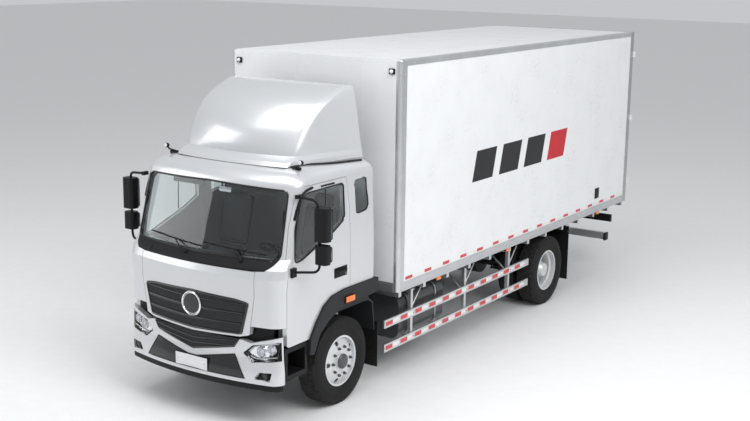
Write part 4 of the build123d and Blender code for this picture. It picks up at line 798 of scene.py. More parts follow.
@dataclass
class CabShell:
    """Painted cab with its glass, seals, wipers, handles and small lamps."""

    shop: PaintShop
    screen: tuple = ((-0.998, 2.600), (0.0, 2.630), (0.998, 2.600), (1.027, 1.907),
                     (0.940, 1.884), (0.0, 1.868), (-0.940, 1.884), (-1.027, 1.907))
    window: tuple = ((1.330, 2.572), (1.345, 2.170), (1.145, 2.068), (0.560, 1.858),
                     (0.436, 1.848), (0.470, 2.200), (0.578, 2.500), (0.660, 2.560))
    quarter: tuple = ((1.548, 2.582), (1.795, 2.584), (1.821, 2.205), (1.572, 2.182))
    seal: float = 0.011

    def build(self) -> None:
        """Build and dress the cab's outside."""
        shop = self.shop
        shop.dress("paint", "cab_roof", "cab_sides", "cab_front", "cab_back_wall", "door_left",
                   "door_right", "roof_fairing")
        shop.dress("glass", "cab_glass", "door_glass_left", "door_glass_right")
        shop.dress("black", "cowl", "entry_steps", "bumper_beam")
        shop.dress("anthracite", "wheel_arches")
        shop.dress("trim", "cab_floor")
        self.shell = Skin(shop, "cab_front", "cab_roof", "cowl", "cab_glass", "cab_sides",
                          "door_left", "door_right", "front_flap")
        self.seals()
        self.cowl_ends()
        self.wipers()
        for side in Side:
            self.door(side)
        self.roof_lamps()
        self.roof_seal()

    def seals(self) -> None:
        """Rubber round the windscreen and the rear side windows."""
        outline = softened(self.screen, 0.055)
        path = [self.shell.front(x * 1.006, 2.25 + (z - 2.25) * 1.008, -0.002)
                for x, z in outline]
        self.shop.place(tube("screen_seal", path, self.seal, closed=True), "gasket", angle=70)
        for side in Side:
            path = [self.shell.side(FRONT + y, z, -0.002, side)
                    for y, z in softened(self.quarter, 0.05)]
            self.shop.place(tube(f"rear_window_seal_{side.tag}", path, 0.008, closed=True),
                            "gasket", angle=70)

    def cowl_ends(self) -> None:
        """Black film that carries the cowl up to the lower corners of the screen."""
        low = ((0.70, 1.776), (0.82, 1.776), (0.90, 1.782), (0.955, 1.800), (0.995, 1.835),
               (1.025, 1.885), (1.042, 1.940))
        high = ((0.70, 1.850), (0.80, 1.858), (0.88, 1.866), (0.925, 1.874), (0.960, 1.890),
                (0.985, 1.915), (1.000, 1.950))
        for side in Side:
            s = side.value
            rows = []
            for (x0, z0), (x1, z1) in zip(low, high):
                rows.append([self.shell.front(s * (x0 + (x1 - x0) * t), z0 + (z1 - z0) * t, 0.0035)
                             for t in steps(0.0, 1.0, 6)])
            if s < 0:
                rows.reverse()
            film = sheet_of(f"cowl_end_{side.tag}", rows, 0.003)
            self.shop.place(film, "black", angle=50)

    def wipers(self) -> None:
        """Two wiper arms and blades lying along the foot of the screen."""
        for number, (pivot, tip, heel) in enumerate(((0.60, 0.06, 0.86), (-0.16, -0.80, 0.02))):
            blade = [self.shell.front(x, 1.925 + 0.045 * (heel - x) / (heel - tip), 0.012)
                     for x in steps(tip, heel, 14)]
            rubber = tube("blade", blade, 0.007)
            spine = tube("spine", [p + Vector((0, -0.012, 0.006)) for p in blade[1:-1]], 0.005)
            middle = blade[7] + Vector((0, -0.014, 0.006))
            foot = self.shell.front(pivot, 1.850, 0.010)
            knee = foot.lerp(middle, 0.35) + Vector((0, -0.018, 0))
            arm = tube("arm", [foot, knee, middle], 0.0075, smooth=True)
            hub = turned("hub", [(0.026, 0.0), (0.026, 0.016), (0.020, 0.024), (0.012, 0.030)],
                         foot + Vector((0, 0.012, 0)), (0, -1, 0.2), 20)
            self.shop.place(joined(f"wiper_{number}", [rubber, spine, arm, hub]), "black", angle=50)

    def door(self, side: Side) -> None:
        """Window seal, handle, vent strip and front guard of one door."""
        tag, body = side.tag, f"cab_door_{side.tag}"
        skin = Skin(self.shop, f"door_{tag}", f"door_glass_{tag}")
        grown = softened(self.window, 0.05)
        path = [skin.side(FRONT + y + (0.006 if y > 0.9 else -0.006), z + (z - 2.2) * 0.02,
                          -0.002, side) for y, z in grown]
        seal = tube(f"door_window_seal_{tag}", path, 0.010, closed=True)
        self.shop.place(seal, "gasket", body, 70)
        divide = [skin.side(FRONT + 1.02, z, -0.004, side) for z in steps(2.055, 2.555, 7)]
        self.shop.place(tube(f"door_window_rail_{tag}", divide, 0.009), "gasket", body, 70)
        low, high = FRONT + 1.142, FRONT + 1.389
        face = skin.side(FRONT + 1.26, 1.573, 0.0, side).x
        inner, outer = sorted((face - side.value * 0.004, face + side.value * 0.004))
        plate = bar(f"handle_recess_{tag}", (inner, low, 1.514), (outer, high, 1.632), 0.003)
        self.shop.place(plate, "black", body)
        grip = [Vector((face + side.value * d, y, z)) for d, y, z in (
            (0.002, low + 0.02, 1.588), (0.026, low + 0.05, 1.590), (0.030, low + 0.12, 1.590),
            (0.026, high - 0.05, 1.590), (0.002, high - 0.02, 1.588))]
        pull = tube(f"handle_pull_{tag}", grip, 0.013, smooth=True, steps=4)
        self.shop.place(pull, "black", body, 70)
        lock = turned(f"handle_lock_{tag}", [(0.012, 0.0), (0.012, 0.006), (0.009, 0.008),
                                             (0.004, 0.006)],
                      (face + side.value * 0.003, high - 0.03, 1.540), (side.value, 0, 0), 20)
        self.shop.place(lock, "steel", body)
        slot = [self.shell.meet((side.value * 3.0, y - 1.0, z), (-side.value, 0.60, 0.0), 0.0015)
                for y, z in ((-4.36, 2.40), (-4.38, 2.30), (-4.40, 2.19))]
        self.shop.place(tube(f"pillar_slot_{tag}", slot, 0.007, steps=3), "black", angle=60)
        guard = [skin.side(FRONT + y, z, 0.004, side) for y, z in (
            (0.470, 2.30), (0.505, 2.40), (0.560, 2.52), (0.600, 2.570), (0.650, 2.596),
            (0.76, 2.614))]
        self.shop.place(tube(f"corner_guard_{tag}", guard, 0.015, steps=4), "black", body, 70)
        vent = [skin.side(FRONT + y, 2.604, 0.003, side) for y in steps(0.92, 1.16, 6)]
        self.shop.place(tube(f"door_vent_{tag}", vent, 0.010, steps=3), "black", body, 70)

    def roof_lamps(self) -> None:
        """Small marker lamps on short arms at the front corners of the roof."""
        for side in Side:
            s, tag = side.value, side.tag
            base = self.shell.meet((s * 0.90, -3.83, 4.0), (0, 0, -1))
            head = Vector((s * 0.985, -3.86, base.z + 0.085))
            arm = tube("arm", [base + Vector((-s * 0.10, 0.02, 0.01)), base + Vector((0, 0, 0.03)),
                               base + Vector((s * 0.05, -0.02, 0.045)), head], 0.011, smooth=True)
            foot = bar("foot", (min(base.x - 0.05, base.x + 0.03), base.y - 0.02, base.z - 0.006),
                       (max(base.x - 0.05, base.x + 0.05), base.y + 0.03, base.z + 0.024), 0.006)
            shade = turned("shade", [(0.016, -0.03), (0.026, -0.012), (0.028, 0.012),
                                     (0.024, 0.020)], head, (0, -1, 0.1), 24)
            holder = joined(f"roof_lamp_holder_{tag}", [arm, foot, shade])
            self.shop.place(holder, "black", angle=60)
            lens = turned(f"roof_lamp_lens_{tag}", [(0.022, 0.016), (0.022, 0.022), (0.014, 0.029),
                                                    (0.005, 0.031)], head, (0, -1, 0.1), 24)
            self.shop.place(lens, "lamp_white")

    def roof_seal(self) -> None:
        """Black seal under the fairing's brim."""
        roof = Skin(self.shop, "cab_roof")
        _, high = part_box("roof_fairing")
        front = [(x, FRONT + 0.612 + 0.10 * (abs(x) / 0.80) ** 2.2) for x in steps(-0.79, 0.79, 15)]
        path = [(-1.035, high.y - 0.02), (-0.96, -3.35), (-0.865, -3.62)] + front
        path += [(0.865, -3.62), (0.96, -3.35), (1.035, high.y - 0.02)]
        line = []
        for x, y in path:
            hit = roof.tree.ray_cast(Vector((x * 0.985, y + 0.02, 4.0)), Vector((0, 0, -1)))[0]
            if hit is not None:
                line.append(hit + Vector((0, 0, 0.006)))
        self.shop.place(tube("fairing_seal", line, 0.014, smooth=True), "gasket", angle=70)


@dataclass
class Nose:
    """Front flap and bumper: grilles, badge disc, lamps and plate."""

    shop: PaintShop
    grille: tuple = ((-0.757, 1.412), (-0.600, 1.438), (0.0, 1.459), (0.600, 1.438),
                     (0.757, 1.412), (0.668, 1.052), (0.0, 1.022), (-0.668, 1.052))
    lamp: tuple = ((0.674, 0.840), (0.785, 0.938), (1.068, 0.996), (1.140, 0.990),
                   (1.140, 0.805), (1.045, 0.790), (0.790, 0.752))

    def build(self) -> None:
        """Build and dress the nose."""
        shop = self.shop
        shop.dress("paint", "front_flap", "front_bumper")
        shop.dress("mesh", "grille", "lower_grille")
        shop.dress("lens", "headlamps")
        self.flap = Skin(shop, "front_flap", "grille")
        self.bumper = Skin(shop, "front_bumper", "lower_grille", "headlamps", "bumper_beam")
        self.upper_grille()
        self.lower_grille()
        self.badge()
        for side in Side:
            self.headlamp(side)
            self.fog_lamp(side)
        self.bumper_panel()
        self.plate()

    def half_width(self, z: float) -> float:
        """Half width of the upper grille at a height."""
        return 0.668 + (z - 1.052) / (1.412 - 1.052) * (0.757 - 0.668)

    def upper_grille(self) -> None:
        """Frame, two broad bars and thin slats of the upper grille."""
        frame = [self.flap.front(x * 0.985, 1.235 + (z - 1.235) * 0.965, -0.002)
                 for x, z in softened(self.grille, 0.03)]
        self.shop.place(tube("grille_frame", frame, 0.014, closed=True, steps=3), "gloss_black",
                        "front_flap", 60)
        slats = []
        for z, radius in ((1.150, 0.006), (1.168, 0.012), (1.272, 0.006), (1.290, 0.012),
                          (1.392, 0.007)):
            half = self.half_width(z) - 0.028
            path = [self.flap.front(x, z - 0.020 * (1 - abs(x) / 0.75), 0.001)
                    for x in steps(-half, half, 21)]
            slats.append(tube("slat", path, radius, steps=2))
        self.shop.place(joined("grille_slats", slats), "gloss_black", "front_flap", 60)

    def lower_grille(self) -> None:
        """V frame and slats of the lower grille."""
        shape = [(0.632, 0.985), (0.565, 0.890), (0.0, 0.776), (-0.565, 0.890), (-0.632, 0.985)]
        path = [self.bumper.front(x * 0.985, z + 0.010, -0.001) for x, z in softened(shape, 0.02)
                if z < 0.986]
        left = [p for p in path if p.z <= 0.99]
        frame = tube("lower_grille_frame", left, 0.011, closed=True)
        self.shop.place(frame, "gloss_black", angle=60)
        slats = []
        for z in (0.905, 0.965):
            half = 0.540 + (z - 0.905) * 0.7
            points = [self.bumper.front(x, z - 0.055 * (1 - abs(x) / half), 0.001)
                      for x in steps(-half, half, 15)]
            slats.append(tube("slat", points, 0.008, steps=2))
        self.shop.place(joined("lower_grille_slats", slats), "gloss_black", angle=60)

    def badge(self) -> None:
        """Plain round boss in the middle of the grille."""
        place = self.flap.front(0.0, 1.300)
        ring = turned("grille_boss", [(0.128, -0.012), (0.142, 0.004), (0.142, 0.014),
                                      (0.134, 0.022), (0.124, 0.020), (0.118, 0.010),
                                      (0.04, 0.008)], place, (0, -1, 0), 56)
        self.shop.place(ring, "chrome", "front_flap")
        dish = turned("grille_boss_face", [(0.112, 0.006), (0.114, 0.012), (0.108, 0.017),
                                           (0.05, 0.020), (0.01, 0.021)], place, (0, -1, 0), 48)
        self.shop.place(dish, "gloss_black", "front_flap")

    def headlamp(self, side: Side) -> None:
        """Projector lamps, bright trim and light bar behind one lens."""
        tag, s = side.tag, side.value
        for number, (x, z, radius) in enumerate(((0.862, 0.868, 0.050), (0.985, 0.905, 0.046))):
            face = self.bumper.front(s * x, z)
            middle = face + Vector((0, 0.052, 0))
            bowl = turned(f"lamp_bowl_{tag}_{number}", [
                (radius * 0.7, 0.05), (radius * 1.2, 0.012), (radius * 1.22, 0.0),
                (radius * 1.12, -0.004), (radius * 0.86, 0.016), (radius * 0.5, 0.026)],
                middle, (0, 1, 0), 40)
            self.shop.place(bowl, "chrome")
            eye = turned(f"lamp_eye_{tag}_{number}", [
                (radius * 0.78, 0.0), (radius * 0.78, 0.012), (radius * 0.62, 0.024),
                (radius * 0.35, 0.031), (radius * 0.08, 0.033)], middle + Vector((0, 0.016, 0)),
                (0, -1, 0), 32)
            self.shop.place(eye, "lamp_white")
        for label, finish, lift, line in (
                ("light_bar", "lamp_white", 0.006,
                 ((0.722, 0.862), (0.795, 0.921), (0.93, 0.955), (1.062, 0.978))),
                ("lamp_trim", "chrome", 0.008,
                 ((0.745, 0.812), (0.80, 0.790), (0.92, 0.803), (1.045, 0.825)))):
            path = [self.bumper.front(s * x, z, -0.038 - lift) for x, z in line]
            self.shop.place(tube(f"{label}_{tag}", path, 0.008, smooth=True), finish, angle=60)
        back = [[self.bumper.front(s * x, z, -0.075) for x in steps(low, high, 7)]
                for z, low, high in ((0.775, 0.80, 0.99), (0.84, 0.715, 1.06), (0.90, 0.76, 1.06),
                                     (0.965, 0.92, 1.05))]
        self.shop.place(sheet_of(f"lamp_back_{tag}", back, 0.004), "chrome")
        rim = [self.bumper.front(s * x, z, 0.0) for x, z in softened(self.lamp, 0.02) if x < 1.10]
        self.shop.place(tube(f"lamp_rim_{tag}", rim, 0.005), "gloss_black", angle=60)

    def fog_lamp(self, side: Side) -> None:
        """Round fog lamp in its dark pocket."""
        tag, s = side.tag, side.value
        face = self.bumper.front(s * 0.932, 0.617)
        pocket = turned(f"fog_pocket_{tag}", [(0.060, -0.004), (0.064, 0.004), (0.058, 0.010),
                                              (0.050, 0.004), (0.046, 0.002)], face, (0, -1, 0), 36)
        self.shop.place(pocket, "black")
        lens = turned(f"fog_lens_{tag}", [(0.044, 0.0), (0.044, 0.006), (0.030, 0.012),
                                          (0.008, 0.014)], face, (0, -1, 0), 32)
        self.shop.place(lens, "gloss_black")
        rows = [[self.bumper.front(s * x, z, 0.001) for x in steps(low, high, 5)]
                for z, low, high in ((0.574, 0.838, 1.004), (0.617, 0.862, 1.012),
                                     (0.656, 0.892, 1.018))]
        self.shop.place(sheet_of(f"fog_panel_{tag}", rows, 0.003), "black")

    def plate(self) -> None:
        """Blank plate with two fixing screws."""
        face = self.bumper.front(0.0, 0.639).y
        carrier = bar("plate_holder", (-0.245, face - 0.006, 0.560), (0.245, face + 0.030, 0.718),
                      0.004)
        self.shop.place(carrier, "black")
        blank = bar("plate_blank", (-0.233, face - 0.010, 0.569), (0.233, face - 0.005, 0.709),
                    0.002)
        self.shop.place(blank, "plate")
        for s in (-1, 1):
            screw = turned(f"plate_screw_{'left' if s > 0 else 'right'}",
                           [(0.007, 0.0), (0.007, 0.002), (0.005, 0.004), (0.001, 0.004)],
                           (s * 0.195, face - 0.009, 0.639), (0, -1, 0), 14)
            self.shop.place(screw, "steel")

    def bumper_panel(self) -> None:
        """Black panel across the bumper below the V strip."""
        rows = []
        for share in steps(0.0, 1.0, 9):
            half = 0.716 + (0.567 - 0.716) * share
            row = []
            for u in steps(-1.0, 1.0, 29):
                top = 0.700 + 0.112 * abs(u)
                row.append(self.bumper.front(half * u, 0.569 + (top - 0.569) * share, 0.0015))
            rows.append(row)
        self.shop.place(sheet_of("bumper_panel", rows, 0.003), "gloss_black", angle=20)
        edge = [rows[0][k] for k in range(29)] + [row[28] for row in rows[1:]]
        edge += [rows[-1][k] for k in range(27, -1, -1)] + [row[0] for row in rows[-2:0:-1]]
        self.shop.place(tube("bumper_panel_edge", edge, 0.006, closed=True), "black", angle=60)


@dataclass
class Mirrors:
    """Door mirrors: plastic shells from the frame, reflecting faces and seams added."""

    shop: PaintShop
    inner: float = 1.342
    outer: float = 1.488

    def build(self) -> None:
        """Build and dress both mirrors."""
        self.shop.dress("black", "mirror_left", "mirror_right")
        for side in Side:
            tag, body = side.tag, f"cab_door_{side.tag}"
            skin = Skin(self.shop, f"mirror_{tag}")
            for label, low, high in (("main", 2.125, 2.450), ("wide", 1.880, 2.035)):
                x = side.value * (self.inner + self.outer) / 2
                back = skin.meet((x, -2.0, (low + high) / 2), (0, -1, 0)).y
                a, b = sorted((side.value * self.inner, side.value * self.outer))
                glass = bar(f"mirror_glass_{label}_{tag}", (a, back - 0.004, low),
                            (b, back + 0.003, high), 0.006, 3)
                self.shop.place(glass, "mirror", body)
                lip = tube(f"mirror_lip_{label}_{tag}", [
                    (px, back + 0.001, pz) for px, pz in softened(
                        ((a - 0.003, low - 0.004), (b + 0.003, low - 0.004),
                         (b + 0.003, high + 0.004), (a - 0.003, high + 0.004)), 0.02)],
                    0.005, closed=True)
                self.shop.place(lip, "black", body, 60)


@dataclass
class Interior:
    """What shows through the glass: dash, seats, small mirror and visors."""

    shop: PaintShop
    seat_x: float = 0.630
    voxel: float = 0.008
    swell: float = 0.016
    air_steps: int = 20

    def build(self) -> None:
        """Build and dress the inside."""
        self.shop.dress("trim", "dashboard")
        self.shop.dress("black", "steering_wheel")
        self.shop.dress("cloth", "seats")
        self.dash()
        self.seats()
        mirror = bar("inner_mirror", (-0.085, -3.975, 2.455), (0.085, -3.955, 2.520), 0.008, 3)
        self.shop.place(mirror, "mirror")
        stem = tube("inner_mirror_stem", [(0, -3.962, 2.515), (0, -3.950, 2.57), (0, -3.93, 2.63)],
                    0.007, smooth=True)
        self.shop.place(stem, "black", angle=60)
        for side in Side:
            x = side.value * 0.50
            visor = bar(f"sun_visor_{side.tag}", (x - 0.24, -3.99, 2.50),
                        (x + 0.24, -3.97, 2.62), 0.009, 3)
            self.shop.place(tilt(visor, -18, "X", (0, -3.98, 2.62)), "trim")

    def dash(self) -> None:
        """Instrument hood and face, vents and column."""
        column = tube("steering_column", [(0.63, -3.93, 1.70), (0.63, -3.85, 1.80)], 0.034, steps=5)
        self.shop.place(column, "black", angle=60)
        hood = bar("instrument_hood", (0.40, -4.12, 1.792), (0.86, -3.99, 1.862), 0.022, 4)
        self.shop.place(tilt(hood, 14, "X", (0.6, -4.05, 1.80)), "trim")
        screen = bar("instrument_face", (0.44, -3.992, 1.800), (0.82, -3.984, 1.850), 0.003)
        self.shop.place(screen, "gloss_black")
        for number, x in enumerate((-0.92, -0.30, 0.24, 0.94)):
            vent = bar(f"dash_vent_{number}", (x - 0.07, -4.07, 1.775), (x + 0.07, -4.00, 1.812),
                       0.008, 3)
            self.shop.place(vent, "black")

    def seats(self) -> None:
        """Cushion, back and headrest of both seats on their boxes."""
        makes = {"seat_cushion": ((-0.235, -0.235, -0.052), (0.235, 0.235, 0.052), 0.0,
                                  (0.0, -3.340, 1.545)),
                 "seat_back": ((-0.225, -0.050, -0.300), (0.225, 0.050, 0.300), -12.0,
                               (0.0, -3.045, 1.915)),
                 "headrest": ((-0.125, -0.038, -0.070), (0.125, 0.038, 0.070), -12.0,
                              (0.0, -2.955, 2.275))}
        first = True
        for label, (low, high, lean, middle) in makes.items():
            pad = self.pad(label, low, high)
            tilt(pad, lean, "X", (0, 0, 0))
            for side in Side:
                centre = Vector(middle) + Vector((side.value * self.seat_x, 0, 0))
                piece = copied(pad, f"{label}_{side.tag}", Matrix.Translation(centre))
                self.shop.place(piece, "cloth", angle=80)
                if first:
                    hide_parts("seats")
                    first = False
                rim = self.piping(f"{label}_piping_{side.tag}", low, high, lean, centre,
                                  label == "seat_cushion")
                self.shop.place(rim, "cloth_dark", angle=80)
            bpy.data.objects.remove(pad)
        for side in Side:
            x, tag = side.value * self.seat_x, side.tag
            foot = bar(f"seat_box_{tag}", (x - 0.20, -3.53, 1.215), (x + 0.20, -3.13, 1.478),
                       0.015, 3)
            self.shop.place(foot, "trim")
            posts = [tube("post", [(x + d, -2.99, 2.17), (x + d, -2.972, 2.25)], 0.006)
                     for d in (-0.06, 0.06)]
            self.shop.place(joined(f"headrest_posts_{tag}", posts), "steel", angle=60)

    def piping(self, name: str, low: Point, high: Point, lean: float, middle: Vector,
               flat: bool) -> bpy.types.Object:
        """Sewn edge round the middle of a pad."""
        if flat:
            ring = softened(((low[0], low[1]), (high[0], low[1]), (high[0], high[1]),
                             (low[0], high[1])), 0.07)
            points = [(x, y, 0.012) for x, y in ring]
        else:
            ring = softened(((low[0], low[2]), (high[0], low[2]), (high[0], high[2]),
                             (low[0], high[2])), 0.06)
            points = [(x, -0.014, z) for x, z in ring]
        piece = tube(name, points, 0.006, closed=True)
        tilt(piece, lean, "X", (0, 0, 0))
        piece.data.transform(Matrix.Translation(middle))
        return piece

    def pad(self, name: str, low: Point, high: Point) -> bpy.types.Object:
        """Stuffed pad, swollen by air pressure from a rounded block.

        Args:
            name: the piece's name.
            low: lowest corner.
            high: highest corner.

        Returns:
            The pad round the origin.
        """
        pad = bar(name, low, high, 0.028, 4)
        bpy.ops.object.mode_set(mode="EDIT")
        bpy.ops.mesh.select_all(action="SELECT")
        bpy.ops.mesh.subdivide(number_cuts=6)
        bpy.ops.object.mode_set(mode="OBJECT")
        weave = pad.modifiers.new("even", "REMESH")
        weave.mode = "VOXEL"
        weave.voxel_size = self.voxel
        bpy.ops.object.modifier_apply(modifier="even")
        start = [vertex.co.copy() for vertex in pad.data.vertices]
        cloth = pad.modifiers.new("cloth", "CLOTH")
        cloth.settings.quality = 5
        cloth.settings.mass = 0.3
        cloth.settings.tension_stiffness = 20
        cloth.settings.compression_stiffness = 20
        cloth.settings.bending_stiffness = 2
        cloth.settings.use_pressure = True
        cloth.settings.uniform_pressure_force = 4.0
        cloth.settings.effector_weights.gravity = 0.0
        scene = bpy.context.scene
        for number in range(1, self.air_steps + 1):
            scene.frame_set(number)
        only(pad)
        bpy.ops.object.modifier_apply(modifier="cloth")
        scene.frame_set(1)
        for vertex, before in zip(pad.data.vertices, start):
            move = vertex.co - before
            if move.length > self.swell:
                vertex.co = before + move.normalized() * self.swell
        smooth = pad.modifiers.new("round", "SUBSURF")
        smooth.levels = smooth.render_levels = 1
        bpy.ops.object.modifier_apply(modifier="round")
        return pad


# ---- Box body ------------------------------------------------------------------------------


@dataclass
class BoxBody:
    """Insulated box: panel seams, edge rivets, tape, markers, doors and rear fittings."""

    shop: PaintShop
    seams: tuple[float, ...] = (-0.27, 0.715)
    tape_low: float = 1.245
    tape_high: float = 1.285
    tape_pitch: float = 0.437
    tape_red: float = 0.158
    tape_count: int = 15
    stripe_foot: float = 2.20
    stripe_head: float = 2.60
    stripe_wide: float = 0.54
    stripe_lean: float = 0.28
    side_face: float = 1.2730

    def build(self) -> None:
        """Build and dress the box."""
        shop = self.shop
        shop.dress("white", "box_front_wall", "box_side_walls", "box_roof", "rear_door_left",
                   "rear_door_right")
        shop.dress("aluminium", "box_edge_frame", "box_sills", "box_bearers")
        shop.dress("stainless", "rear_frame")
        shop.dress("floor", "box_floor")
        self.front_wall()
        self.rail_ribs()
        self.rivets()
        self.tape()
        self.side_bars()
        for side in Side:
            self.markers(side)
        self.rear()
        holder = bar("paper_holder", (self.side_face - 0.004, 3.300, 1.345),
                     (self.side_face + 0.012, 3.440, 1.500), 0.008, 3)
        shop.place(holder, "black")
        cap = bar("paper_holder_cap", (self.side_face - 0.002, 3.294, 1.486),
                  (self.side_face + 0.0125, 3.446, 1.508), 0.005, 3)
        shop.place(cap, "black")

    def front_wall(self) -> None:
        """Cover strips over the front wall's joints, and two marker lamps."""
        strips = [bar("strip", (x - 0.009, BOX_FRONT - 0.0015, 1.24), (x + 0.009, BOX_FRONT + 0.004,
                                                                     3.81), 0.001, 1)
                  for x in self.seams]
        self.shop.place(joined("front_wall_strips", strips), "white")
        rail = bar("front_bottom_rail", (-1.206, BOX_FRONT - 0.002, 1.116),
                   (1.206, BOX_FRONT + 0.004, 1.233), 0.0015, 1)
        self.shop.place(rail, "aluminium")
        for side in Side:
            x, tag = side.value * 1.150, side.tag
            base = bar(f"front_marker_base_{tag}", (x - 0.040, BOX_FRONT - 0.022, 3.722),
                       (x + 0.040, BOX_FRONT + 0.003, 3.790), 0.008, 3)
            self.shop.place(base, "black")
            lens = turned(f"front_marker_lens_{tag}", [(0.024, 0.0), (0.024, 0.010), (0.016, 0.018),
                                                       (0.004, 0.020)],
                          (x, BOX_FRONT - 0.020, 3.756), (0, -1, 0), 24)
            self.shop.place(lens, "lamp_white")

    def rail_ribs(self) -> None:
        """Lengthways ribs of the bottom rail, round both sides and the front."""
        ribs = []
        for z in (1.133, 1.158, 1.200, 1.226):
            for side in Side:
                x = side.value * BOX_SIDE
                ribs.append(tube("rib", [(x, BOX_FRONT + 0.05, z), (x, 4.42, z)], 0.0035, steps=1))
            ribs.append(tube("rib", [(-1.22, BOX_FRONT, z), (1.22, BOX_FRONT, z)], 0.0035, steps=1))
        for side in Side:
            x = side.value * BOX_SIDE
            for z in (3.822, 3.866):
                ribs.append(tube("rib", [(x, BOX_FRONT + 0.05, z), (x, 4.42, z)], 0.003, steps=1))
        self.shop.place(joined("rail_ribs", ribs), "aluminium", angle=60)

    def rivets(self) -> None:
        """Dome rivets along the top rails, bottom rails and front posts."""
        dome = turned("rivet", [(0.0075, -0.002), (0.0075, 0.0004), (0.0055, 0.0026),
                                (0.0020, 0.0034)], (0, 0, 0), (0, 0, 1), 8)
        places = []
        for side in Side:
            turn = Matrix.Rotation(math.radians(90 * side.value), 4, "Y")
            for y in steps(BOX_FRONT + 0.15, 4.34, 47):
                for z in (3.844, 1.179):
                    places.append(Matrix.Translation((side.value * BOX_SIDE, y, z)) @ turn)
            for z in steps(1.35, 3.72, 17):
                places.append(Matrix.Translation((side.value * BOX_SIDE, BOX_FRONT + 0.085, z))
                              @ turn)
        front = Matrix.Rotation(math.radians(90), 4, "X")
        for x in steps(-1.10, 1.10, 16):
            places += [Matrix.Translation((x, BOX_FRONT, z)) @ front for z in (3.855, 1.179)]
        for z in steps(1.35, 3.66, 16):
            places += [Matrix.Translation((x, BOX_FRONT, z)) @ front for x in (-1.215, 1.215)]
        self.shop.place(repeated("edge_rivets", dome, places), "aluminium")

    def tape(self) -> None:
        """Reflective tape in red and white lengths along both sides."""
        gap = 0.003
        for label, finish, offset, length in (
                ("red", "tape_red", 0.0, self.tape_red),
                ("white", "tape_white", self.tape_red + gap,
                 self.tape_pitch - self.tape_red - 2 * gap)):
            parts = []
            for side in Side:
                a, b = sorted((side.value * (self.side_face - 0.001),
                               side.value * (self.side_face + 0.0012)))
                for number in range(self.tape_count):
                    y = BOX_FRONT + 0.160 + number * self.tape_pitch + offset
                    parts.append(bar("tape", (a, y, self.tape_low), (b, y + length, self.tape_high),
                                     0.0005, 1))
            self.shop.place(joined(f"side_tape_{label}", parts), finish)

    def side_bars(self) -> None:
        """Plain slanted bars in black and red on the left wall."""
        def slanted(y: float) -> bpy.types.Object:
            """One slanted bar lying on the wall."""
            piece = bar("stripe", (self.side_face - 0.001, y, self.stripe_foot),
                        (self.side_face + 0.0012, y + self.stripe_wide, self.stripe_head),
                        0.0005, 1)
            for vertex in piece.data.vertices:
                vertex.co.y += (vertex.co.z - self.stripe_foot) * self.stripe_lean
            return piece

        black = [slanted(-0.62 + k * 0.72) for k in range(3)]
        self.shop.place(joined("side_stripes_black", black), "film_black")
        red = [slanted(1.54)]
        self.shop.place(joined("side_stripes_red", red), "film_red")

    def markers(self, side: Side) -> None:
        """Orange side markers under one bottom rail."""
        tag, s = side.tag, side.value
        for number, y in enumerate((-1.385, 0.465, 3.475)):
            a, b = sorted((s * 1.236, s * 1.254))
            base = bar(f"side_marker_base_{tag}_{number}", (a, y - 0.062, 1.066),
                       (b, y + 0.062, 1.116), 0.004)
            self.shop.place(base, "black")
            a, b = sorted((s * 1.250, s * 1.270))
            lens = bar(f"side_marker_{tag}_{number}", (a, y - 0.052, 1.072), (b, y + 0.052, 1.110),
                       0.006, 3)
            self.shop.place(lens, "amber")

    def rear(self) -> None:
        """Door handles, seals, lamps and blank plate at the back."""
        for side in Side:
            tag, s, body = side.tag, side.value, f"rear_door_{side.tag}"
            for number, x in enumerate((0.150, 0.640)):
                handle = tube(f"rod_handle_{tag}_{number}", [
                    (s * x, BOX_REAR + 0.022, 1.760), (s * (x + 0.03), BOX_REAR + 0.032, 1.745),
                    (s * (x + 0.20), BOX_REAR + 0.032, 1.735),
                    (s * (x + 0.24), BOX_REAR + 0.030, 1.735)], 0.009, smooth=True, steps=3)
                self.shop.place(handle, "stainless", body, 60)
                a, b = sorted((s * (x + 0.17), s * (x + 0.22)))
                keeper = bar(f"rod_keeper_{tag}_{number}", (a, BOX_REAR - 0.001, 1.705),
                             (b, BOX_REAR + 0.024, 1.765), 0.005, 3)
                self.shop.place(keeper, "stainless", body)
                clamps = [bar("clamp", (s * x - 0.030, BOX_REAR - 0.001, z - 0.014),
                              (s * x + 0.030, BOX_REAR + 0.034, z + 0.014), 0.005, 2)
                          for z in (1.50, 2.05, 2.90, 3.45)]
                self.shop.place(joined(f"rod_clamps_{tag}_{number}", clamps), "stainless", body)
            low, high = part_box(body)
            inner, outer = s * 0.012, s * (abs(high.x if s > 0 else low.x) - 0.075)
            a, b = sorted((inner, outer))
            seal = tube(f"door_seal_{tag}", [(px, BOX_REAR - 0.002, pz) for px, pz in softened(
                ((a + 0.012, 1.262), (b - 0.012, 1.262), (b - 0.012, 3.745), (a + 0.012, 3.745)),
                0.03)], 0.007, closed=True)
            self.shop.place(seal, "gasket", body, 60)
        _, bar_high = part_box("lamp_bar")
        face = bar_high.y
        for side in Side:
            tag, s = side.tag, side.value
            for label, finish, x_low, x_high in (("tail", "red", 0.960, 1.150),
                                                 ("turn", "amber", 0.840, 0.950),
                                                 ("reverse", "lamp_white", 0.750, 0.830)):
                a, b = sorted((s * x_low, s * x_high))
                lens = bar(f"{label}_lamp_{tag}", (a, face - 0.004, 0.820),
                           (b, face + 0.016, 0.900), 0.008, 3)
                self.shop.place(lens, finish)
            a, b = sorted((s * 0.735, s * 1.165))
            rim = bar(f"rear_lamp_rim_{tag}", (a, face - 0.004, 0.808), (b, face + 0.008, 0.912),
                      0.006, 2)
            self.shop.place(rim, "black")
            cap_low, cap_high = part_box("underrun_bar")
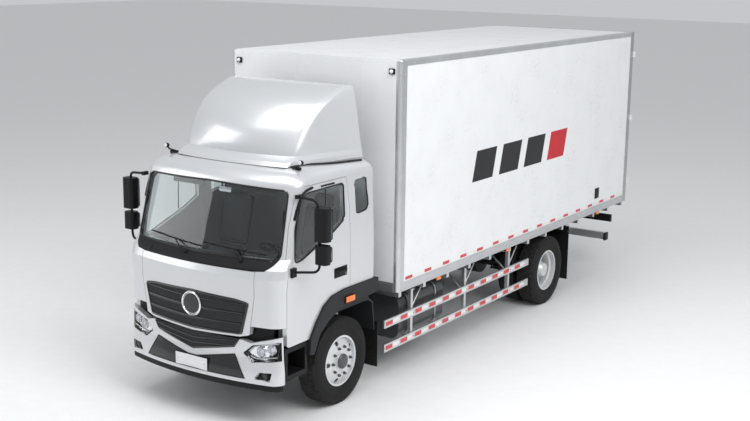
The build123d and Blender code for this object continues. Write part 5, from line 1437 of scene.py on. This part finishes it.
            a, b = sorted((s * 1.120, s * 1.156))
            cap = bar(f"underrun_cap_{tag}", (a, cap_low.y + 0.036, 0.500),
                      (b, cap_high.y + 0.004, 0.625), 0.010, 3)
            self.shop.place(cap, "black")
        blank = bar("rear_plate_blank", (-0.235, face + 0.002, 0.792), (0.235, face + 0.008, 0.928),
                    0.002)
        self.shop.place(blank, "plate")
        frame = bar("rear_plate_holder", (-0.250, face - 0.003, 0.780),
                    (0.250, face + 0.005, 0.940), 0.004)
        self.shop.place(frame, "black")


# ---- Under the body ------------------------------------------------------------------------


@dataclass
class Undercarriage:
    """Guards, tanks, springs and other parts on the ladder frame."""

    shop: PaintShop
    guard_face: float = 1.200
    guard_start: float = -2.515
    guard_end: float = 1.232

    def build(self) -> None:
        """Build and dress what hangs on the frame."""
        shop = self.shop
        shop.dress("chassis", "frame", "front_axle", "rear_axle", "leaf_springs", "air_tanks",
                   "knuckle_left", "knuckle_right", "tie_rod")
        shop.dress("cast", "engine")
        shop.dress("steel", "drive_shaft")
        shop.dress("tank", "fuel_tank")
        shop.dress("black", "battery_box", "lamp_bar")
        shop.dress("rubber", "mudflaps")
        shop.dress("aluminium", "side_guards", "underrun_bar")
        self.guard_tape()
        self.guard_struts()
        self.tank_parts()
        self.battery_ribs()
        self.air_tank_bands()
        self.springs()
        self.brake_chambers()
        for side in Side:
            self.arch_lamp(side)

    def guard_tape(self) -> None:
        """Red and white tape on both rails of the side guards."""
        for label, finish, start, length in (("red", "tape_red", 0.03, 0.150),
                                             ("white", "tape_white", 0.183, 0.144)):
            parts = []
            for side in Side:
                a, b = sorted((side.value * (self.guard_face - 0.001),
                               side.value * (self.guard_face + 0.0012)))
                for low in (0.425, 0.725):
                    y = self.guard_start + start
                    while y + length < self.guard_end:
                        parts.append(bar("tape", (a, y, low), (b, y + length, low + 0.050),
                                         0.0005, 1))
                        y += 0.330
            self.shop.place(joined(f"guard_tape_{label}", parts), finish)

    def guard_struts(self) -> None:
        """Diagonal struts and bolts behind the side guards."""
        struts, bolts = [], []
        for side in Side:
            s = side.value
            for place in (-1.875, -0.555, 0.670):
                struts.append(tube("strut", [(s * 1.135, place, 0.72), (s * 0.78, place, 1.02)],
                                   0.014, steps=3))
                struts.append(tube("strut", [(s * 1.150, place + 0.03, 0.80),
                                             (s * 1.150, place + 0.26, 1.04)], 0.012, steps=3))
                for z in (0.450, 0.750):
                    bolts.append(turned("bolt", [(0.012, 0.0), (0.012, 0.004), (0.009, 0.008),
                                                 (0.003, 0.008)], (s * 1.2005, place, z),
                                        (s, 0, 0), 8))
        self.shop.place(joined("guard_struts", struts), "steel", angle=60)
        self.shop.place(joined("guard_bolts", bolts), "steel")

    def tank_parts(self) -> None:
        """Straps and filler cap of the fuel tank."""
        low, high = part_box("fuel_tank")
        for number, y in enumerate((low.y + 0.20, high.y - 0.20)):
            ring = softened(((low.x - 0.004, low.z - 0.004), (high.x + 0.004, low.z - 0.004),
                             (high.x + 0.004, high.z + 0.004), (low.x - 0.004, high.z + 0.004)),
                            0.11, 6)
            strap = tube(f"tank_strap_{number}", [(x, y, z) for x, z in ring], 0.009, closed=True)
            self.shop.place(strap, "stainless", angle=60)
        cap = turned("tank_cap", [(0.045, -0.01), (0.045, 0.012), (0.052, 0.014), (0.052, 0.036),
                                  (0.044, 0.044), (0.012, 0.046)],
                     (high.x - 0.10, low.y + 0.42, high.z - 0.006), (0.35, 0, 1), 28)
        self.shop.place(cap, "steel")

    def battery_ribs(self) -> None:
        """Lid and ribs of the battery box."""
        low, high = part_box("battery_box")
        face = low.x if abs(low.x) > abs(high.x) else high.x
        s = math.copysign(1.0, face)
        a, b = sorted((face - s * 0.004, face + s * 0.008))
        ribs = [bar("rib", (a, low.y + 0.05, z), (b, high.y - 0.05, z + 0.012), 0.004, 2)
                for z in steps(low.z + 0.07, high.z - 0.14, 5)]
        self.shop.place(joined("battery_ribs", ribs), "black")
        lid = bar("battery_lid", (low.x - 0.006, low.y - 0.006, high.z - 0.045),
                  (high.x + 0.006, high.y + 0.006, high.z + 0.004), 0.010, 3)
        self.shop.place(lid, "black")

    def air_tank_bands(self) -> None:
        """Steel bands and one drain plug of the air tanks."""
        low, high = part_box("air_tanks")
        long_y = (high.y - low.y) > 0.3
        middle = (low + high) / 2
        bands = []
        for share in (0.22, 0.78):
            y = low.y + (high.y - low.y) * share
            if long_y:
                ring = softened(((low.x, low.z), (high.x, low.z), (high.x, high.z),
                                 (low.x, high.z)), 0.11, 6)
                bands.append(tube("band", [(x, y, z) for x, z in ring], 0.006, closed=True))
        plug = turned("plug", [(0.012, 0.0), (0.012, 0.012), (0.008, 0.020), (0.003, 0.021)],
                      (middle.x, middle.y, low.z + 0.002), (0, 0, -1), 12)
        self.shop.place(joined("air_tank_bands", bands + [plug]), "steel", angle=60)

    def springs(self) -> None:
        """U-bolts and clamp plates that hold the springs to the axles."""
        bolts = []
        for side in Side:
            x = side.value * 0.390
            for axle, low, high in ((FRONT_AXLE, 0.46, 0.62), (REAR_AXLE, 0.42, 0.67)):
                for y in (axle - 0.075, axle + 0.075):
                    bolts.append(tube("bolt", [(x - 0.052, y, low), (x - 0.052, y, high),
                                               (x - 0.04, y, high + 0.018), (x + 0.04, y,
                                                                             high + 0.018),
                                               (x + 0.052, y, high), (x + 0.052, y, low)],
                                      0.009, steps=2))
                bolts.append(bar("clamp", (x - 0.068, axle - 0.10, low - 0.004),
                                 (x + 0.068, axle + 0.10, low + 0.014), 0.004, 2))
        self.shop.place(joined("spring_clamps", bolts), "chassis", angle=60)

    def brake_chambers(self) -> None:
        """Brake chambers behind the rear axle and a silencer under the rail."""
        for side in Side:
            s = side.value
            chamber = turned(f"brake_chamber_{side.tag}", [
                (0.03, -0.12), (0.070, -0.10), (0.078, -0.02), (0.086, -0.005), (0.086, 0.005),
                (0.078, 0.02), (0.070, 0.09), (0.03, 0.115)],
                (s * 0.53, REAR_AXLE + 0.20, 0.50), (0, 1, 0.15), 32)
            self.shop.place(chamber, "chassis")
        silencer = turned("silencer", [(0.04, -0.42), (0.125, -0.38), (0.135, -0.36), (0.135, 0.36),
                                       (0.125, 0.38), (0.04, 0.42)],
                          (-0.20, -0.62, 0.62), (0, 1, 0), 36)
        self.shop.place(silencer, "steel")
        pipe = tube("exhaust_pipe", [(-0.20, -1.70, 0.66), (-0.20, -1.30, 0.62),
                                     (-0.20, -1.02, 0.62)],
                    0.045, smooth=True, steps=5)
        self.shop.place(pipe, "steel", angle=60)

    def arch_lamp(self, side: Side) -> None:
        """Orange turn lamp on one arch trim."""
        skin = Skin(self.shop, "wheel_arches")
        tag, s = side.tag, side.value
        face = abs(skin.side(-3.185, 1.233, 0.0, side).x)
        a, b = sorted((s * (face - 0.004), s * (face + 0.014)))
        base = bar(f"arch_lamp_base_{tag}", (a, -3.280, 1.190), (b, -3.090, 1.276), 0.008, 3)
        self.shop.place(base, "black")
        a, b = sorted((s * (face + 0.008), s * (face + 0.026)))
        lens = bar(f"arch_lamp_{tag}", (a, -3.270, 1.199), (b, -3.100, 1.267), 0.010, 3)
        self.shop.place(lens, "amber")


@dataclass
class Wheels:
    """Discs, nuts, hub caps, valves and tread blocks."""

    shop: PaintShop
    bolt_circle: float = 0.1675
    nuts: int = 10
    tread_radius: float = 0.5065
    blocks: int = 66

    def build(self) -> None:
        """Build and dress all the wheels."""
        for place, finish in (("front", "tyre_front"), ("rear", "tyre_rear")):
            for side in Side:
                tag = f"{place}_{side.tag}"
                self.shop.dress(finish, f"tyre_{tag}")
                self.shop.dress("silver", f"rim_{tag}")
        for side in Side:
            s, tag = side.value, side.tag
            self.hardware(f"front_{tag}", s, FRONT_AXLE, 1.130, True)
            self.hardware(f"rear_{tag}", s, REAR_AXLE, 0.965, False)
        ring = self.tread_ring()
        for place, axle, middles in (("front", FRONT_AXLE, (1.005,)),
                                     ("rear", REAR_AXLE, (1.107, 0.797))):
            for side in Side:
                tag = f"{place}_{side.tag}"
                rings = [copied(ring, "tread", Matrix.Translation((side.value * x, axle,
                                                                  AXLE_HEIGHT)))
                         for x in middles]
                self.shop.place(joined(f"tread_{tag}", rings), f"tyre_{place}", f"wheel_{tag}")
        bpy.data.objects.remove(ring)

    def round_axle(self, axle: float, face: float, s: int, radius: float, count: int,
                   phase: float = 0.0) -> list[Matrix]:
        """Places evenly round a wheel's axle, each turned to point outwards."""
        turn = Matrix.Rotation(math.radians(90 * s), 4, "Y")
        places = []
        for number in range(count):
            angle = 2 * math.pi * number / count + phase
            at = (s * face, axle + radius * math.cos(angle), AXLE_HEIGHT + radius * math.sin(angle))
            places.append(Matrix.Translation(at) @ turn)
        return places

    def hardware(self, tag: str, s: int, axle: float, face: float, front: bool) -> None:
        """Nuts, hub cap and valve of one wheel."""
        body = f"wheel_{tag}"
        nut = turned("nut", [(0.020, 0.0), (0.020, 0.003), (0.0165, 0.004), (0.0165, 0.020),
                             (0.0135, 0.024), (0.010, 0.024), (0.009, 0.032), (0.004, 0.033)],
                     (0, 0, 0), (0, 0, 1), 6)
        self.shop.place(repeated(f"wheel_nuts_{tag}", nut,
                                 self.round_axle(axle, face, s, self.bolt_circle, self.nuts)),
                        "tank", body)
        low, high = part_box(f"rim_{tag}")
        out = max(abs(low.x), abs(high.x))
        if front:
            cap = turned(f"hub_cap_{tag}", [(0.088, -0.022), (0.088, -0.004), (0.080, 0.004),
                                            (0.052, 0.010), (0.048, 0.013), (0.014, 0.014)],
                         (s * (out + 0.0005), axle, AXLE_HEIGHT), (s, 0, 0), 40)
            self.shop.place(cap, "tank", body)
        else:
            cap = turned(f"hub_cap_{tag}", [(0.096, -0.03), (0.096, 0.0), (0.088, 0.008),
                                            (0.060, 0.012), (0.014, 0.013)],
                         (s * 1.150, axle, AXLE_HEIGHT), (s, 0, 0), 40)
            self.shop.place(cap, "tank", body)
        valve = tube(f"valve_{tag}", [(s * (face + 0.004), axle + 0.10, AXLE_HEIGHT + 0.205),
                                      (s * (face + 0.035), axle + 0.112, AXLE_HEIGHT + 0.225)],
                     0.0045, steps=3)
        self.shop.place(valve, "steel", body, 60)

    def tread_ring(self) -> bpy.types.Object:
        """All the tread blocks of one tyre round the origin."""
        parts = []
        for x, wide, phase, drop in ((-0.098, 0.030, 0.5, 0.0022), (-0.050, 0.036, 0.0, 0.0006),
                                     (0.0, 0.036, 0.5, 0.0), (0.050, 0.036, 0.0, 0.0006),
                                     (0.098, 0.030, 0.5, 0.0022)):
            radius = self.tread_radius - drop
            block = bar("block", (x - wide / 2, -0.0185, radius - 0.008),
                        (x + wide / 2, 0.0185, radius + 0.0045), 0.002, 1)
            places = [Matrix.Rotation(2 * math.pi * (k + phase) / self.blocks, 4, "X")
                      for k in range(self.blocks)]
            parts.append(repeated("tread_row", block, places))
        return joined("tread_ring", parts)


# ---- Studio --------------------------------------------------------------------------------


@dataclass
class Studio:
    """Pale floor, soft lights and the camera."""

    eye: tuple[float, float, float] = (8.78, -13.958, 5.107)
    azimuth: float = 34.06
    elevation: float = 12.169
    roll: float = 0.675
    lens: float = 57.65
    key: float = 1150.0
    fill: float = 300.0
    surround: float = 0.62
    floor_size: float = 160.0
    floor_height: float = -0.004

    def build(self) -> None:
        """Set up the studio."""
        self.floor()
        self.lights()
        self.camera()

    def floor(self) -> None:
        """Wide matt floor."""
        only()
        bpy.ops.mesh.primitive_plane_add(size=self.floor_size,
                                         location=(0, 0, self.floor_height))
        floor = settled("studio_floor")
        sheet = Sheet("pale_floor")
        speck = sheet.noise(6.0, 8.0)
        base = sheet.blend(speck, (0.80, 0.80, 0.80), (0.86, 0.86, 0.86))
        sheet.constants(Base_Color=base, Roughness=speck * 0.2 + 0.6)
        sheet.relief(sheet.noise(80.0, 3.0), 0.002)
        floor.data.materials.append(sheet.material)
        floor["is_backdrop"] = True

    def lights(self) -> None:
        """Pale surround and three large soft lamps."""
        bpy.context.scene.view_settings.view_transform = "Standard"
        world = bpy.data.worlds.new("surround")
        bpy.context.scene.world = world
        world.use_nodes = True
        ground = world.node_tree.nodes["Background"]
        ground.inputs[0].default_value = (0.90, 0.92, 0.95, 1.0)
        ground.inputs[1].default_value = self.surround
        for name, place, target, size, power in (
                ("key", (10.0, -5.0, 11.0), (0.0, 0.0, 1.5), 8.0, self.key),
                ("top", (0.0, -6.0, 12.0), (0.0, -2.0, 1.0), 9.0, self.fill * 1.6),
                ("fill", (-10.0, -11.0, 6.0), (0.0, -3.0, 1.5), 7.0, self.fill)):
            lamp = bpy.data.lights.new(name, "AREA")
            lamp.shape = "SQUARE"
            lamp.size = size
            lamp.energy = power
            holder = bpy.data.objects.new(name, lamp)
            bpy.context.scene.collection.objects.link(holder)
            holder.location = place
            aim = Vector(target) - Vector(place)
            holder.rotation_euler = aim.to_track_quat("-Z", "Y").to_euler()

    def camera(self) -> None:
        """Camera at the given view."""
        turn, rise, roll = (math.radians(a) for a in (self.azimuth, self.elevation, self.roll))
        back = Vector((math.sin(turn) * math.cos(rise), -math.cos(turn) * math.cos(rise),
                       math.sin(rise)))
        right = (-back).cross(Vector((0, 0, 1))).normalized()
        up = right.cross(-back)
        across = right * math.cos(roll) + up * math.sin(roll)
        upward = up * math.cos(roll) - right * math.sin(roll)
        data = bpy.data.cameras.new("view")
        data.lens = self.lens
        data.sensor_width = 36.0
        data.sensor_fit = "HORIZONTAL"
        data.clip_end = 300.0
        camera = bpy.data.objects.new("view", data)
        bpy.context.scene.collection.objects.link(camera)
        frame = Matrix((across, upward, back)).transposed().to_4x4()
        camera.matrix_world = Matrix.Translation(Vector(self.eye)) @ frame
        bpy.context.scene.camera = camera


def listed(bounds: Any) -> Any:
    """Bounds as plain lists of numbers."""
    if isinstance(bounds, (int, float)):
        return float(bounds)
    if isinstance(bounds, dict):
        return {key: listed(value) for key, value in bounds.items()}
    return [listed(value) for value in bounds]


def main() -> None:
    """Build the truck's looks."""
    logging.basicConfig(level=logging.INFO, format="%(name)s: %(message)s")
    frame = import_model()
    before = listed(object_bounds())
    shop = PaintShop(frame["nodes"])
    for part in (CabShell(shop), Nose(shop), Mirrors(shop), Interior(shop), BoxBody(shop),
                 Undercarriage(shop), Wheels(shop)):
        part.build()
        log.info("finished %s", type(part).__name__)
    Studio().build()
    {"cad": before, "visual": listed(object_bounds())}


if __name__ == "__main__":
    main()
